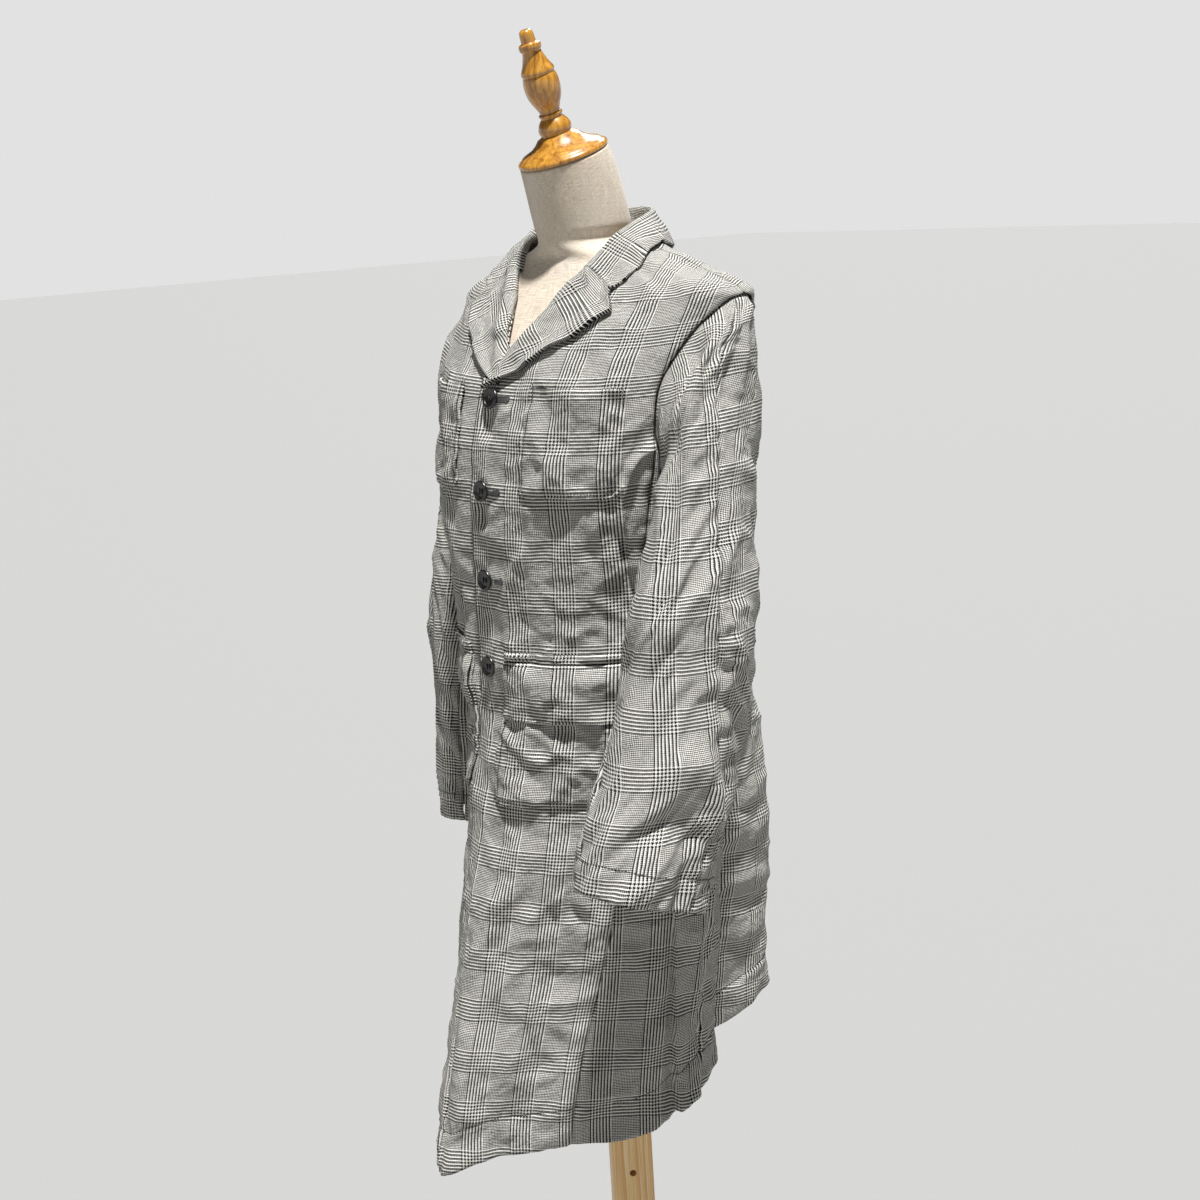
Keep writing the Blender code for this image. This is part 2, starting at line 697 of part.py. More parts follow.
def post(finish):
    """Square post with a peg hole through it."""
    bpy.ops.mesh.primitive_cube_add(size=1.0)
    made = bpy.context.object
    made.name = "stand_post"
    low, high = FOOT_HEIGHT + 0.0003, POST_TOP
    size = Matrix.Diagonal((POST_SIDE, POST_SIDE, high - low, 1.0))
    turn = Matrix.Rotation(POST_TURN, 4, "Z")
    made.data.transform(Matrix.Translation((0.0, 0.0, (low + high) / 2)) @ turn @ size)
    made.data.materials.append(finish)
    bevel = made.modifiers.new("edges", "BEVEL")
    bevel.width = 0.0015
    bevel.segments = 1
    bpy.ops.mesh.primitive_cylinder_add(vertices=16, radius=0.0035, depth=0.08)
    peg = bpy.context.object
    peg.name = "peg_hole_cutter"
    peg.data.transform(Matrix.Translation((0.0, 0.0, 0.440)) @ turn
                       @ Matrix.Rotation(math.radians(90), 4, "X"))
    peg.hide_render = True
    peg.display_type = "WIRE"
    cut = made.modifiers.new("peg hole", "BOOLEAN")
    cut.operation = "DIFFERENCE"
    cut.object = peg
    return made


def foot(finish):
    """Plain round foot under the post."""
    profile = ((0.0, 0.985), (0.002, 1.0), (0.022, 1.0), (0.028, 0.975), (FOOT_HEIGHT, 0.94))
    rings = [circle(FOOT_RADIUS * share, height, 48) for height, share in profile]
    return turned_solid("stand_foot", rings, finish)


# ---------------------------------------------------------------- the whole thing
def build():
    for old in list(bpy.data.objects):
        bpy.data.objects.remove(old)
    cloth = material("glen_check_cotton_linen", (0.30, 0.29, 0.27), 0.9)
    horn = material("dark_horn", (0.02, 0.018, 0.016), 0.35)
    linen = material("natural_linen", (0.62, 0.55, 0.46), 0.95)
    lacquer = material("lacquered_wood", (0.50, 0.26, 0.08), 0.3)
    pine = material("pale_wood", (0.64, 0.47, 0.26), 0.6)

    over = LAY + CLOTH + LAY
    for side, word in ((1, "left"), (-1, "right")):
        wall(f"front_{word}", front_panel(side), cloth)
        wall(f"side_{word}", side_panel(side), cloth)
        wall(f"back_{word}", back_panel(side), cloth)
        wall(f"lapel_{word}", lapel(side), cloth)
        table = SLEEVE_LEFT if side > 0 else SLEEVE_RIGHT
        top, under = sleeve(side, table, (SLEEVE_TOP_TURNS, SLEEVE_UNDER_TURNS))
        wall(f"sleeve_{word}_top", top, cloth)
        wall(f"sleeve_{word}_under", under, cloth)
        wall(f"chest_pocket_{word}", patch(side, CHEST_POCKET, LAY, 8, 6, 0.020), cloth)
        wall(f"hip_pocket_{word}", patch(side, HIP_POCKET, LAY, 10, 8, 0.024), cloth)
        wall(f"flap_{word}", patch(side, FLAP, over, 5, 8), cloth)
        wall(f"welt_{word}", patch(side, WELT, LAY, 3, 8, thickness=0.0045), cloth)
    wall("collar", collar(), cloth)
    for number, level in enumerate(BUTTON_LEVELS, 1):
        button(f"button_{number}", level, horn)
    dress_form(linen)
    neck_cap(lacquer)
    post(pine)
    foot(pine)


build()
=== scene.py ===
"""Half coat on a limbless dress form: finishes, cloth shells, stitching and light.

Metres, +Z up; the coat's front faces -Y and the wearer's left is +X.
"""
import math

import bmesh
import bpy
import numpy as np
from mathutils import Matrix, Vector


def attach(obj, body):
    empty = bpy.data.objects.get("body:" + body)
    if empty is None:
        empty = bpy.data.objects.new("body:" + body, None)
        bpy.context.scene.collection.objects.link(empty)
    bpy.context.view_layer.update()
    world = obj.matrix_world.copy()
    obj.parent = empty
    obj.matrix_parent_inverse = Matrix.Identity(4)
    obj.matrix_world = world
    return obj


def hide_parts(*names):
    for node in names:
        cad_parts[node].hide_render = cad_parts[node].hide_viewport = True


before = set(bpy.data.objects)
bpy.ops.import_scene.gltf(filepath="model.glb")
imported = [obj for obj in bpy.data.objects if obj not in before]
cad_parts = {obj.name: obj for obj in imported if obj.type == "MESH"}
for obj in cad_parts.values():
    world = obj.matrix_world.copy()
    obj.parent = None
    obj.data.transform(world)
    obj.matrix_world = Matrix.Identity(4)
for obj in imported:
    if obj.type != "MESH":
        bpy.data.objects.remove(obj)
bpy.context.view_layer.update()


# ============================================================ stand: post and foot
# A square planed softwood post with a peg hole just under the coat, standing
# on a plain round foot of the same wood.  Both are satin, pale, with soft knots;
# the post's tones are painted lighter, as painted light where the coat shades it,
# and the foot's are painted darker, as painted shade under the full key light.
def hex_colour(code):
    """A six-digit hex colour as linear RGBA."""
    parts = [int(code[i:i + 2], 16) / 255 for i in (1, 3, 5)]
    return (*[c / 12.92 if c <= 0.04045 else ((c + 0.055) / 1.055) ** 2.4 for c in parts], 1.0)


def add_node(tree, kind, inputs=None, stops=(), **settings):
    """Add a node with its settings, its hex colour stops, and values or links
    for its inputs."""
    made = tree.nodes.new(kind)
    for key, value in settings.items():
        setattr(made, key, value)
    for socket, value in (inputs or {}).items():
        if isinstance(value, bpy.types.NodeSocket):
            tree.links.new(value, made.inputs[socket])
        else:
            made.inputs[socket].default_value = value
    for spot, (place, code) in enumerate(stops):
        row = made.color_ramp.elements
        stop = row[spot] if spot < 2 else row.new(place)
        stop.position, stop.color = place, hex_colour(code)
    return made


def new_finish(name, **values):
    """A Principled material; returns it, its node tree and its shader."""
    made = bpy.data.materials.new(name)
    made.use_nodes = True
    shader = made.node_tree.nodes["Principled BSDF"]
    for key, value in values.items():
        shader.inputs[key.replace("_", " ")].default_value = value
    return made, made.node_tree, shader


def softwood(name, grain_tilt, pore_scale, tones):
    """Pale planed softwood: growth rings, fine pores along the grain, few knots."""
    made, tree, shader = new_finish(name, Roughness=0.5, Coat_Weight=0.12, Coat_Roughness=0.35)
    place = add_node(tree, "ShaderNodeTexCoord").outputs["Object"]
    long = add_node(tree, "ShaderNodeMapping", {
        "Vector": place, "Location": (0.031, 0.018, 0.0),
        "Rotation": (grain_tilt, 0.012, 0.4), "Scale": (1.0, 1.0, 0.055)}).outputs["Vector"]
    rings = add_node(tree, "ShaderNodeTexWave", {
        "Vector": long, "Scale": 62.0, "Distortion": 3.5, "Detail": 2.0, "Detail Scale": 1.4},
        wave_type="RINGS", rings_direction="Z", wave_profile="SAW").outputs["Fac"]
    colour = add_node(tree, "ShaderNodeValToRGB", {"Fac": rings},
                      stops=tuple(zip((0.0, 0.62, 1.0), tones))).outputs["Color"]
    pores = add_node(tree, "ShaderNodeTexNoise", {
        "Vector": add_node(tree, "ShaderNodeMapping", {
            "Vector": place, "Scale": pore_scale}).outputs["Vector"],
        "Scale": 1.0, "Detail": 3.0}).outputs["Fac"]
    fleck = add_node(tree, "ShaderNodeValToRGB", {"Fac": pores},
                     stops=((0.35, "#dfbd8a"), (0.6, "#ffffff"))).outputs["Color"]
    colour = add_node(tree, "ShaderNodeMix", {0: 0.55, 6: colour, 7: fleck},
                      data_type="RGBA", blend_type="MULTIPLY").outputs[2]
    knots = add_node(tree, "ShaderNodeTexVoronoi", {
        "Vector": add_node(tree, "ShaderNodeMapping", {
            "Vector": place, "Location": (0.3, 0.1, 0.17),
            "Scale": (9.0, 9.0, 4.0)}).outputs["Vector"],
        "Scale": 1.0}, feature="SMOOTH_F1").outputs["Distance"]
    spot = add_node(tree, "ShaderNodeValToRGB", {"Fac": knots},
                    stops=((0.03, "#9a6633"), (0.10, "#ffffff"))).outputs["Color"]
    colour = add_node(tree, "ShaderNodeMix", {0: 0.8, 6: colour, 7: spot},
                      data_type="RGBA", blend_type="MULTIPLY").outputs[2]
    tree.links.new(colour, shader.inputs["Base Color"])
    relief = add_node(tree, "ShaderNodeBump", {"Height": pores, "Strength": 0.25,
                                               "Distance": 0.0004})
    tree.links.new(relief.outputs["Normal"], shader.inputs["Normal"])
    return made


# One wood in two tones: the post's are painted light, lighter than the wood where the coat shades
# it; the foot's are painted shade, darker against the key light.
for part, tilt, pores, tones in (
        ("stand_post", 0.0, (900.0, 900.0, 18.0), ("#f2d9a8", "#ecca90", "#d8ab6c")),
        ("stand_foot", 1.55, (900.0, 18.0, 900.0), ("#c9a26c", "#bf955d", "#a87d48"))):
    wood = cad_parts[part]
    wood.data.materials.clear()
    wood.data.materials.append(softwood(f"planed_softwood_painted_light_and_shade_{part}", tilt, pores, tones))


# ============================================================ dress form
# A limbless torso under stretched natural linen, whole and smooth, with the
# neck leaning forward.  It lies a few millimetres inside the coat it carries.
SECTIONS = (
    # level  front    back    side   left   right  n_left n_right n_back
    (0.520, -0.236,  0.140, -0.030, 0.146, 0.146, 1.25, 1.25, 1.8),
    (0.700, -0.193,  0.140, -0.018, 0.157, 0.148, 1.45, 1.30, 1.9),
    (0.850, -0.155,  0.130, -0.008, 0.162, 0.148, 1.80, 1.40, 2.0),
    (0.960, -0.135,  0.118,  0.000, 0.160, 0.149, 2.10, 1.60, 2.1),
    (1.060, -0.131,  0.104,  0.000, 0.150, 0.146, 2.10, 2.00, 2.1),
    (1.165, -0.127,  0.108,  0.000, 0.164, 0.153, 2.30, 2.30, 2.2),
    (1.250, -0.110,  0.110,  0.005, 0.173, 0.158, 2.30, 2.30, 2.2),
    (1.300, -0.081,  0.101,  0.018, 0.184, 0.166, 2.30, 2.30, 2.2),
    (1.335, -0.052,  0.086,  0.026, 0.195, 0.176, 2.20, 2.20, 2.2),
    (1.360, -0.036,  0.074,  0.024, 0.132, 0.126, 2.00, 2.00, 2.1),
    (1.380, -0.029,  0.064,  0.020, 0.080, 0.080, 2.00, 2.00, 2.0),
    (1.400, -0.025,  0.060,  0.018, 0.060, 0.060, 2.00, 2.00, 2.0),
)
FOLDS = (
    # top    hem    fades  out     half width, hanging folds of the coat
    (  20.,   12., 1.15,  0.006,  7.),
    (  40.,   30., 1.00, -0.006,  8.),
    (  78.,   72., 1.05,  0.010, 12.),
    ( 104.,  118., 1.08, -0.038, 11.),
    ( 135.,  142., 1.10,  0.016, 12.),
    ( 165.,  166., 1.00, -0.012,  9.),
    ( -38.,  -32., 1.00, -0.006,  9.),
    ( -80.,  -74., 1.05,  0.012, 12.),
    (-106., -119., 1.08, -0.034, 11.),
    (-137., -144., 1.10,  0.015, 12.),
)
HEM, LIFT_AT_BACK, LIFT_FADES = 0.520, 0.120, 1.15
INSET = ((0.790, 0.048), (0.800, 0.036), (0.830, 0.027), (0.900, 0.022), (0.970, 0.026),
         (1.060, 0.036), (1.120, 0.020), (1.165, 0.012), (1.220, 0.0100), (1.260, 0.0090),
         (1.295, 0.0075), (1.320, 0.0050), (1.335, 0.0030), (1.348, 0.0026),
         (1.360, 0.0026), (1.371, 0.0028))
NECK = ((1.3820, 0.0130, 0.0465), (1.4000, 0.0090, 0.0455), (1.4200, 0.0040, 0.0450),
        (1.4450, -0.0030, 0.0440), (1.4620, -0.0090, 0.0425))
NECK_TILT = math.radians(18)
FORM_SHOULDER = 0.145


def ease(t):
    """Ease from 0 to 1."""
    t = np.clip(t, 0.0, 1.0)
    return t * t * (3.0 - 2.0 * t)


def read_table(table, key):
    """Columns of a table at an array of keys, rounded between its rows."""
    rows = np.array(sorted(table), float)
    x, gap = rows[:, 0], np.diff(rows[:, 0])
    rise = np.diff(rows[:, 1:], axis=0) / gap[:, None]
    slope = np.zeros_like(rows[:, 1:])
    total = rise[:-1] + rise[1:]
    same = rise[:-1] * rise[1:] > 0
    slope[1:-1][same] = 2 * (rise[:-1] * rise[1:])[same] / total[same]
    key = np.clip(np.asarray(key, float), x[0], x[-1])
    i = np.clip(np.searchsorted(x, key, side="right") - 1, 0, len(x) - 2)
    t = ((key - x[i]) / gap[i])[..., None]
    a, b, g = rows[i, 1:], rows[i + 1, 1:], gap[i][..., None]
    ma, mb = slope[i] * g, slope[i + 1] * g
    value = a + t * ma + t * t * (3 * (b - a) - 2 * ma - mb) + t ** 3 * (2 * (a - b) + ma + mb)
    return np.moveaxis(value, -1, 0)


def section_point(angle, level, plain=False):
    """x and y of the coat's smooth section at an angle round it, in degrees."""
    angle, level = np.broadcast_arrays(np.asarray(angle, float), np.asarray(level, float))
    front, back, side, left, right, n_left, n_right, n_back = read_table(SECTIONS, level)
    if plain:
        left = right = np.minimum(left, right)
        n_left = n_right = np.full_like(left, 2.1)
    angle = (angle + 180.0) % 360.0 - 180.0
    turn = np.radians(np.abs(angle))
    ahead = np.abs(angle) <= 90.0
    depth = np.where(ahead, front - side, back - side)
    n = np.where(ahead, np.where(angle >= 0, n_left, n_right), n_back)
    x = np.where(angle >= 0, left, right) * np.maximum(np.sin(turn), 0.0) ** (2 / n)
    return np.copysign(x, angle), side + depth * np.abs(np.cos(turn)) ** (2 / n)


def coat_face(angle, level):
    """Points of the coat's outer face with its hanging folds, before its creases."""
    angle, level = np.broadcast_arrays(np.asarray(angle, float), np.asarray(level, float))
    x, y = section_point(angle, level)
    ahead, behind = section_point(angle + 0.5, level), section_point(angle - 0.5, level)
    across, deep = ahead[0] - behind[0], ahead[1] - behind[1]
    size = np.hypot(across, deep)
    push = np.zeros_like(x)
    for top, hem, fades, out, half in FOLDS:
        drop = (fades - level) / (fades - HEM)
        away = (angle - top - (hem - top) * drop + 180.0) % 360.0 - 180.0
        push += np.where(drop > 0, out * ease(drop) * np.exp(-(away / half) ** 2), 0.0)
    x, y = x + deep / size * push, y - across / size * push
    front, back = SECTIONS[0][1], SECTIONS[0][2]
    lift = LIFT_AT_BACK * ease((LIFT_FADES - level) / (LIFT_FADES - HEM))
    return np.stack([x, y, level + lift * (y - front) / (back - front)], -1)


def unit(vectors):
    """Vectors brought to length 1."""
    return vectors / np.linalg.norm(vectors, axis=-1, keepdims=True)


def coat_out(angle, level):
    """Outward directions of the coat's face."""
    across = coat_face(angle + 1.0, level) - coat_face(angle - 1.0, level)
    up = coat_face(angle, level + 0.004) - coat_face(angle, level - 0.004)
    return unit(np.cross(across, up))


def put(name, data):
    """An object of that name and data, in the scene."""
    made = bpy.data.objects.new(name, data)
    bpy.context.scene.collection.objects.link(made)
    return made


def new_piece(name, vertices, faces, finish, chart=None):
    """An object from points and faces, with a chart in metres as its UV map."""
    mesh = bpy.data.meshes.new(name)
    mesh.from_pydata(np.asarray(vertices).tolist(), [], faces)
    if chart is not None:
        layer = mesh.uv_layers.new(name="cloth_metres")
        corner = np.empty(len(mesh.loops), int)
        mesh.loops.foreach_get("vertex_index", corner)
        layer.data.foreach_set("uv", np.asarray(chart)[corner].ravel())
    mesh.materials.append(finish)
    mesh.shade_smooth()
    return put(name, mesh)


def run(points, axis=0):
    """Lengths along rows of points, from the first point on."""
    steps = np.diff(points, axis=axis, prepend=np.take(points, [0], axis))
    return np.cumsum(np.linalg.norm(steps, axis=-1), axis)


def ring_faces(rings, sides):
    """Faces of a solid through closed rings, with both ends capped."""
    faces = [(i * sides + j, i * sides + (j + 1) % sides, (i + 1) * sides + (j + 1) % sides,
              (i + 1) * sides + j) for i in range(rings - 1) for j in range(sides)]
    return faces + [tuple(range(sides - 1, -1, -1)),
                    tuple((rings - 1) * sides + j for j in range(sides))]


def through(rows, count):
    """Rows of points drawn as one smooth curve through all of them."""
    rows = np.asarray(rows, float)
    place = np.linspace(0, len(rows) - 1, count)
    i = np.minimum(place.astype(int), len(rows) - 2)
    t = (place - i).reshape((-1,) + (1,) * (rows.ndim - 1))
    p = np.concatenate([[2 * rows[0] - rows[1]], rows, [2 * rows[-1] - rows[-2]]])
    a, b, c, d = p[i], p[i + 1], p[i + 2], p[i + 3]
    return b + t / 2 * (c - a + t * (2 * a - 5 * b + 4 * c - d + t * (3 * (b - c) + d - a)))


def linen(name):
    """Natural linen: thick and thin threads both ways, some 15 to a
    centimetre, flecked greige."""
    made, tree, shader = new_finish(name, Roughness=0.92, Sheen_Weight=0.15,
                                    Sheen_Roughness=0.5)
    place = add_node(tree, "ShaderNodeUVMap", uv_map="cloth_metres").outputs["UV"]
    threads = []
    for scale in ((1500.0, 60.0, 1.0), (60.0, 1500.0, 1.0)):
        threads.append(add_node(tree, "ShaderNodeTexNoise", {
            "Vector": add_node(tree, "ShaderNodeMapping", {
                "Vector": place, "Scale": scale}).outputs["Vector"],
            "Scale": 1.0, "Detail": 2.0}).outputs["Fac"])
    weave = add_node(tree, "ShaderNodeMath", {0: threads[0], 1: threads[1]},
                     operation="ADD").outputs[0]
    half = add_node(tree, "ShaderNodeMath", {0: weave, 1: 0.5}, operation="MULTIPLY").outputs[0]
    colour = add_node(tree, "ShaderNodeValToRGB", {"Fac": half}, stops=(
        (0.36, "#b0a392"), (0.5, "#cfc4b4"), (0.64, "#e2d9cc"))).outputs["Color"]
    age = add_node(tree, "ShaderNodeTexNoise", {"Vector": place, "Scale": 9.0,
                                                "Detail": 3.0}).outputs["Fac"]
    tone = add_node(tree, "ShaderNodeValToRGB", {"Fac": age},
                    stops=((0.3, "#efe6da"), (0.7, "#ffffff"))).outputs["Color"]
    colour = add_node(tree, "ShaderNodeMix", {0: 0.6, 6: colour, 7: tone},
                      data_type="RGBA", blend_type="MULTIPLY").outputs[2]
    tree.links.new(colour, shader.inputs["Base Color"])
    relief = add_node(tree, "ShaderNodeBump", {"Height": half, "Strength": 0.5,
                                               "Distance": 0.0006})
    tree.links.new(relief.outputs["Normal"], shader.inputs["Normal"])
    return made


turns = np.arange(-180.0, 180.0, 3.0)
rings = []
for level, inside in INSET:
    x, y = section_point(turns, level, level < 1.2)
    if level > 1.2:
        out = coat_out(turns, level)
    else:
        ahead = section_point(turns + 2, level, True)
        behind = section_point(turns - 2, level, True)
        out = unit(np.stack([ahead[1] - behind[1], behind[0] - ahead[0], 0 * x], -1))
    ring = np.stack([x, y, np.full_like(x, level)], -1) - out * inside
    over = np.maximum(np.abs(ring[:, 0]) - FORM_SHOULDER, 0.0)
    ring[:, 0] -= np.copysign(over * 0.7, ring[:, 0])
    rings.append(ring)
for z, y, radius in NECK:
    place = Matrix.Translation((0.0, y, z)) @ Matrix.Rotation(
        NECK_TILT * float(ease((z - 1.38) / 0.06)), 4, "X")
    rings.append([place @ Vector((radius * math.sin(a), -radius * math.cos(a), 0.0))
                  for a in np.radians(turns)])
rings = through(rings, 161)
around = np.cumsum(np.linalg.norm(np.diff(rings[80], axis=0, append=rings[80][:1]), axis=-1))
chart = np.stack(np.broadcast_arrays(around[None, :], rings[:, :1, 2]), -1)
form = new_piece("form_body_linen", rings.reshape(-1, 3), ring_faces(161, len(turns)),
                 linen("natural_linen_cover"), chart.reshape(-1, 2))
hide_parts("form_body")
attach(form, "root")


# ============================================================ neck cap
# A turned cap on the form's neck: a stepped plate, a ball, a long vase and a
# peg, in honey-brown wood under a clear, glossy lacquer.
CAP_PROFILE = (
    (0.0000, 0.0410), (0.0010, 0.0430), (0.0028, 0.0434), (0.0045, 0.0428), (0.0060, 0.0400),
    (0.0070, 0.0388), (0.0085, 0.0372), (0.0108, 0.0312), (0.0130, 0.0265), (0.0165, 0.0222),
    (0.0200, 0.0190), (0.0213, 0.0158), (0.0225, 0.0145), (0.0238, 0.0150), (0.0258, 0.0157),
    (0.0285, 0.0157), (0.0320, 0.0144), (0.0352, 0.0122), (0.0375, 0.0101), (0.0388, 0.0103),
    (0.0400, 0.0114), (0.0412, 0.0113), (0.0425, 0.0097), (0.0440, 0.0098), (0.0460, 0.0106),
    (0.0495, 0.0122), (0.0540, 0.0145), (0.0590, 0.0161), (0.0640, 0.0168), (0.0690, 0.0169),
    (0.0730, 0.0165), (0.0762, 0.0157), (0.0778, 0.0149), (0.0790, 0.0156), (0.0805, 0.0160),
    (0.0822, 0.0155), (0.0840, 0.0145), (0.0885, 0.0122), (0.0930, 0.0105), (0.0965, 0.0093),
    (0.0990, 0.0088), (0.1000, 0.0097), (0.1015, 0.0105), (0.1045, 0.0106), (0.1060, 0.0101),
    (0.1068, 0.0080), (0.1075, 0.0070), (0.1110, 0.0068), (0.1150, 0.0066), (0.1175, 0.0058),
    (0.1190, 0.0042),
)


def lathed(name, profile, sides, place, finish):
    """A turned solid from rows of height and radius along the place's own Z."""
    spin = np.linspace(0.0, math.tau, sides, endpoint=False)
    vertices = [place @ Vector((radius * math.cos(a), radius * math.sin(a), height))
                for height, radius in profile for a in spin]
    made = new_piece(name, vertices, ring_faces(len(profile), sides), finish)
    made.data.set_sharp_from_angle(angle=math.radians(50))
    return made


def lacquered_wood(name):
    """Honey-brown turned wood, its grain running up the cap, under lacquer."""
    made, tree, shader = new_finish(name, Roughness=0.32, Coat_Weight=0.9,
                                    Coat_Roughness=0.08, Coat_IOR=1.5)
    place = add_node(tree, "ShaderNodeTexCoord").outputs["Object"]
    along = add_node(tree, "ShaderNodeMapping", {
        "Vector": place, "Rotation": (-NECK_TILT, 0.0, 0.3),
        "Scale": (1.0, 1.0, 0.12)}).outputs["Vector"]
    grain = add_node(tree, "ShaderNodeTexNoise", {
        "Vector": along, "Scale": 210.0, "Detail": 5.0, "Roughness": 0.62,
        "Distortion": 0.6}).outputs["Fac"]
    colour = add_node(tree, "ShaderNodeValToRGB", {"Fac": grain}, stops=(
        (0.30, "#7c4a14"), (0.47, "#ad7628"), (0.66, "#cf9a40"))).outputs["Color"]
    tree.links.new(colour, shader.inputs["Base Color"])
    relief = add_node(tree, "ShaderNodeBump", {"Height": grain, "Strength": 0.15,
                                               "Distance": 0.0003})
    tree.links.new(relief.outputs["Normal"], shader.inputs["Normal"])
    return made


tilt = Matrix.Rotation(NECK_TILT, 4, "X")
top_z, top_y = NECK[-1][:2]
place = Matrix.Translation(Vector((0.0, top_y, top_z)) + tilt @ Vector((0, 0, 0.0003))) @ tilt
cap = lathed("neck_cap_turned", CAP_PROFILE, 72, place, lacquered_wood("lacquered_turned_wood"))
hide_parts("form_neck_cap")
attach(cap, "root")


# ============================================================ coat: fronts, sides, backs
# The body of the coat: six panels of washed cotton and linen, a black and
# ivory 2/2 twill woven in a glen check.  The left front laps over the right.
CLOTH = 0.0014
FINE = 0.0032
NOTCH, ARM, ARM_HALF, ARM_ROUND = 1.205, 1.250, 0.085, 0.80
SHOULDER, BREAK, TOP = 1.335, 1.266, 1.386
EDGE_X, UNDERLAP_X, UNDERLAP_DEPTH, NECK_SIDE_X = -0.020, 0.022, 0.0042, 0.065
LAPEL = (
    # roll x  level   edge x  level
    (-0.014, 1.263, -0.0155, 1.257),
    ( 0.003, 1.286,  0.022,  1.269),
    ( 0.020, 1.311,  0.053,  1.286),
    ( 0.036, 1.338,  0.083,  1.305),
    ( 0.047, 1.353,  0.108,  1.322),
    ( 0.053, 1.361,  0.093,  1.341),
)
ARM_AHEAD, ARM_BEHIND = 26.0, 24.0      # half the armhole, in degrees from the side
DEGREE = 0.0026             # one degree round the body, in metres of cloth
THREAD = 0.000395           # one thread of the weave
HEM_TURN, HEM_FADES = 0.038, 0.16       # its turned edge, and how far up it is uneven
SIDES = ((1, "left"), (-1, "right"))
CREASES = (
    # from angle, level   to angle, level   half width  height (mm)
    ( 24., 1.180,   20., 1.120,  9.,  2.6),
    ( 20., 1.120,    9., 1.010, 10.,  3.4),
    (  9., 1.010,   -6., 0.890, 10.,  3.0),
    ( 34., 1.150,   26., 1.060,  9., -2.4),
    ( 28., 1.040,   16., 0.960,  9., -2.2),
    ( 60., 1.230,   44., 1.180,  7.,  2.2),
    ( 62., 1.212,   50., 1.150,  6., -2.4),
    ( 66., 1.190,   58., 1.120,  6.,  2.6),
    ( 40., 1.300,   50., 1.250,  9.,  1.2),
    ( 30., 0.790,   20., 0.640, 13., -3.2),
    ( 22., 0.800,   10., 0.600, 13.,  3.0),
    ( 38., 0.820,   33., 0.580, 12.,  3.4),
    ( 12., 0.700,    4., 0.560, 11., -2.6),
    ( 66.5, 1.206,  57., 1.186,  3.6,  4.0),
    ( 57., 1.186,   58., 1.118,  3.6,  4.2),
    ( 62., 1.180,   62.5, 1.060, 4.0, -4.0),
    ( 32., 0.690,   47., 0.596,  6.0,  2.8),
    ( 35., 0.678,   50., 0.590,  6.0, -2.6),
    ( 36., 0.775,   42., 0.734,  5.0,  2.4),
    ( 39., 0.780,   45., 0.738,  5.0, -2.4),
    ( 60., 0.860,   58., 0.560, 12., -3.0),
    ( 84., 0.800,   86., 0.560, 12., -3.6),
    ( 96., 0.900,   98., 0.640, 11.,  3.2),
    (128., 0.900,  130., 0.560, 11., -3.0),
    (152., 0.980,  154., 0.580, 12.,  3.2),
    (112., 1.190,  122., 1.090, 10., -2.0),
    (128., 1.200,  140., 1.060, 12.,  2.2),
    (165., 1.110,  140., 1.050, 11., -2.0),
    (150., 1.240,  172., 1.180, 12.,  1.6),
    (-24., 1.170,  -16., 1.080,  9.,  2.4),
    (-34., 1.120,  -22., 1.040,  9., -2.4),
    (-20., 1.020,   -6., 0.930, 10.,  2.6),
    (-60., 1.225,  -46., 1.170,  7.,  2.2),
    (-64., 1.200,  -54., 1.130,  7., -2.4),
    (-28., 0.800,  -22., 0.600, 13.,  3.2),
    (-16., 0.760,  -12., 0.600, 12., -2.8),
    (-44., 0.820,  -42., 0.580, 12.,  3.2),
    (-62., 0.860,  -60., 0.560, 12., -3.0),
    (-88., 0.800,  -90., 0.560, 12., -3.4),
    (-98., 0.900, -100., 0.640, 11.,  3.0),
    (-128., 0.920, -131., 0.560, 11., -3.0),
    (-154., 1.000, -156., 0.580, 12.,  3.4),
    (-114., 1.180, -126., 1.080, 10., -2.0),
    (-134., 1.190, -146., 1.070, 12.,  2.2),
    (-166., 1.120, -144., 1.040, 11., -1.8),
)
CREASES += tuple(
    (a, top + b, c, top + d, e, f) for top in (1.248, 1.165)
    for a, b, c, d, e, f in ((0.5, -0.006, 1.0, -0.036, 5.0, -3.6),
                             (-4.0, -0.010, -0.5, -0.046, 4.0, 2.0),
                             (6.5, -0.008, 2.5, -0.046, 4.0, 2.6)))
DART = (29.0, 1.162, 26.0, 1.018)
HEM_WAVES = (               # angle, height over the hem's level (mm)
    (-174., -3.), (-158., 5.), (-140., -4.), (-122., 4.), (-104., -2.), (-86., -4.),
    (-73., 2.), (-66., -14.), (-56., -12.), (-44., 2.), (-32., -3.), (-20., 5.), (-7., 2.),
    (  -5., 8.), (  4., 2.), ( 14., 7.), ( 24., 8.), ( 34., 0.), ( 44., 0.), ( 50., -8.),
    ( 57., -16.), ( 66., -17.), ( 71., -12.), ( 73.5, 2.), ( 86., -3.), (103., 3.),
    (122., -4.), (140., 4.), (157., -4.), (172., 3.))
VENT = (73.1, 14.7, 0.775)  # its edge's angle at the hem and slant, its top's level
LATTICE = 61                # cells each way before a random relief repeats


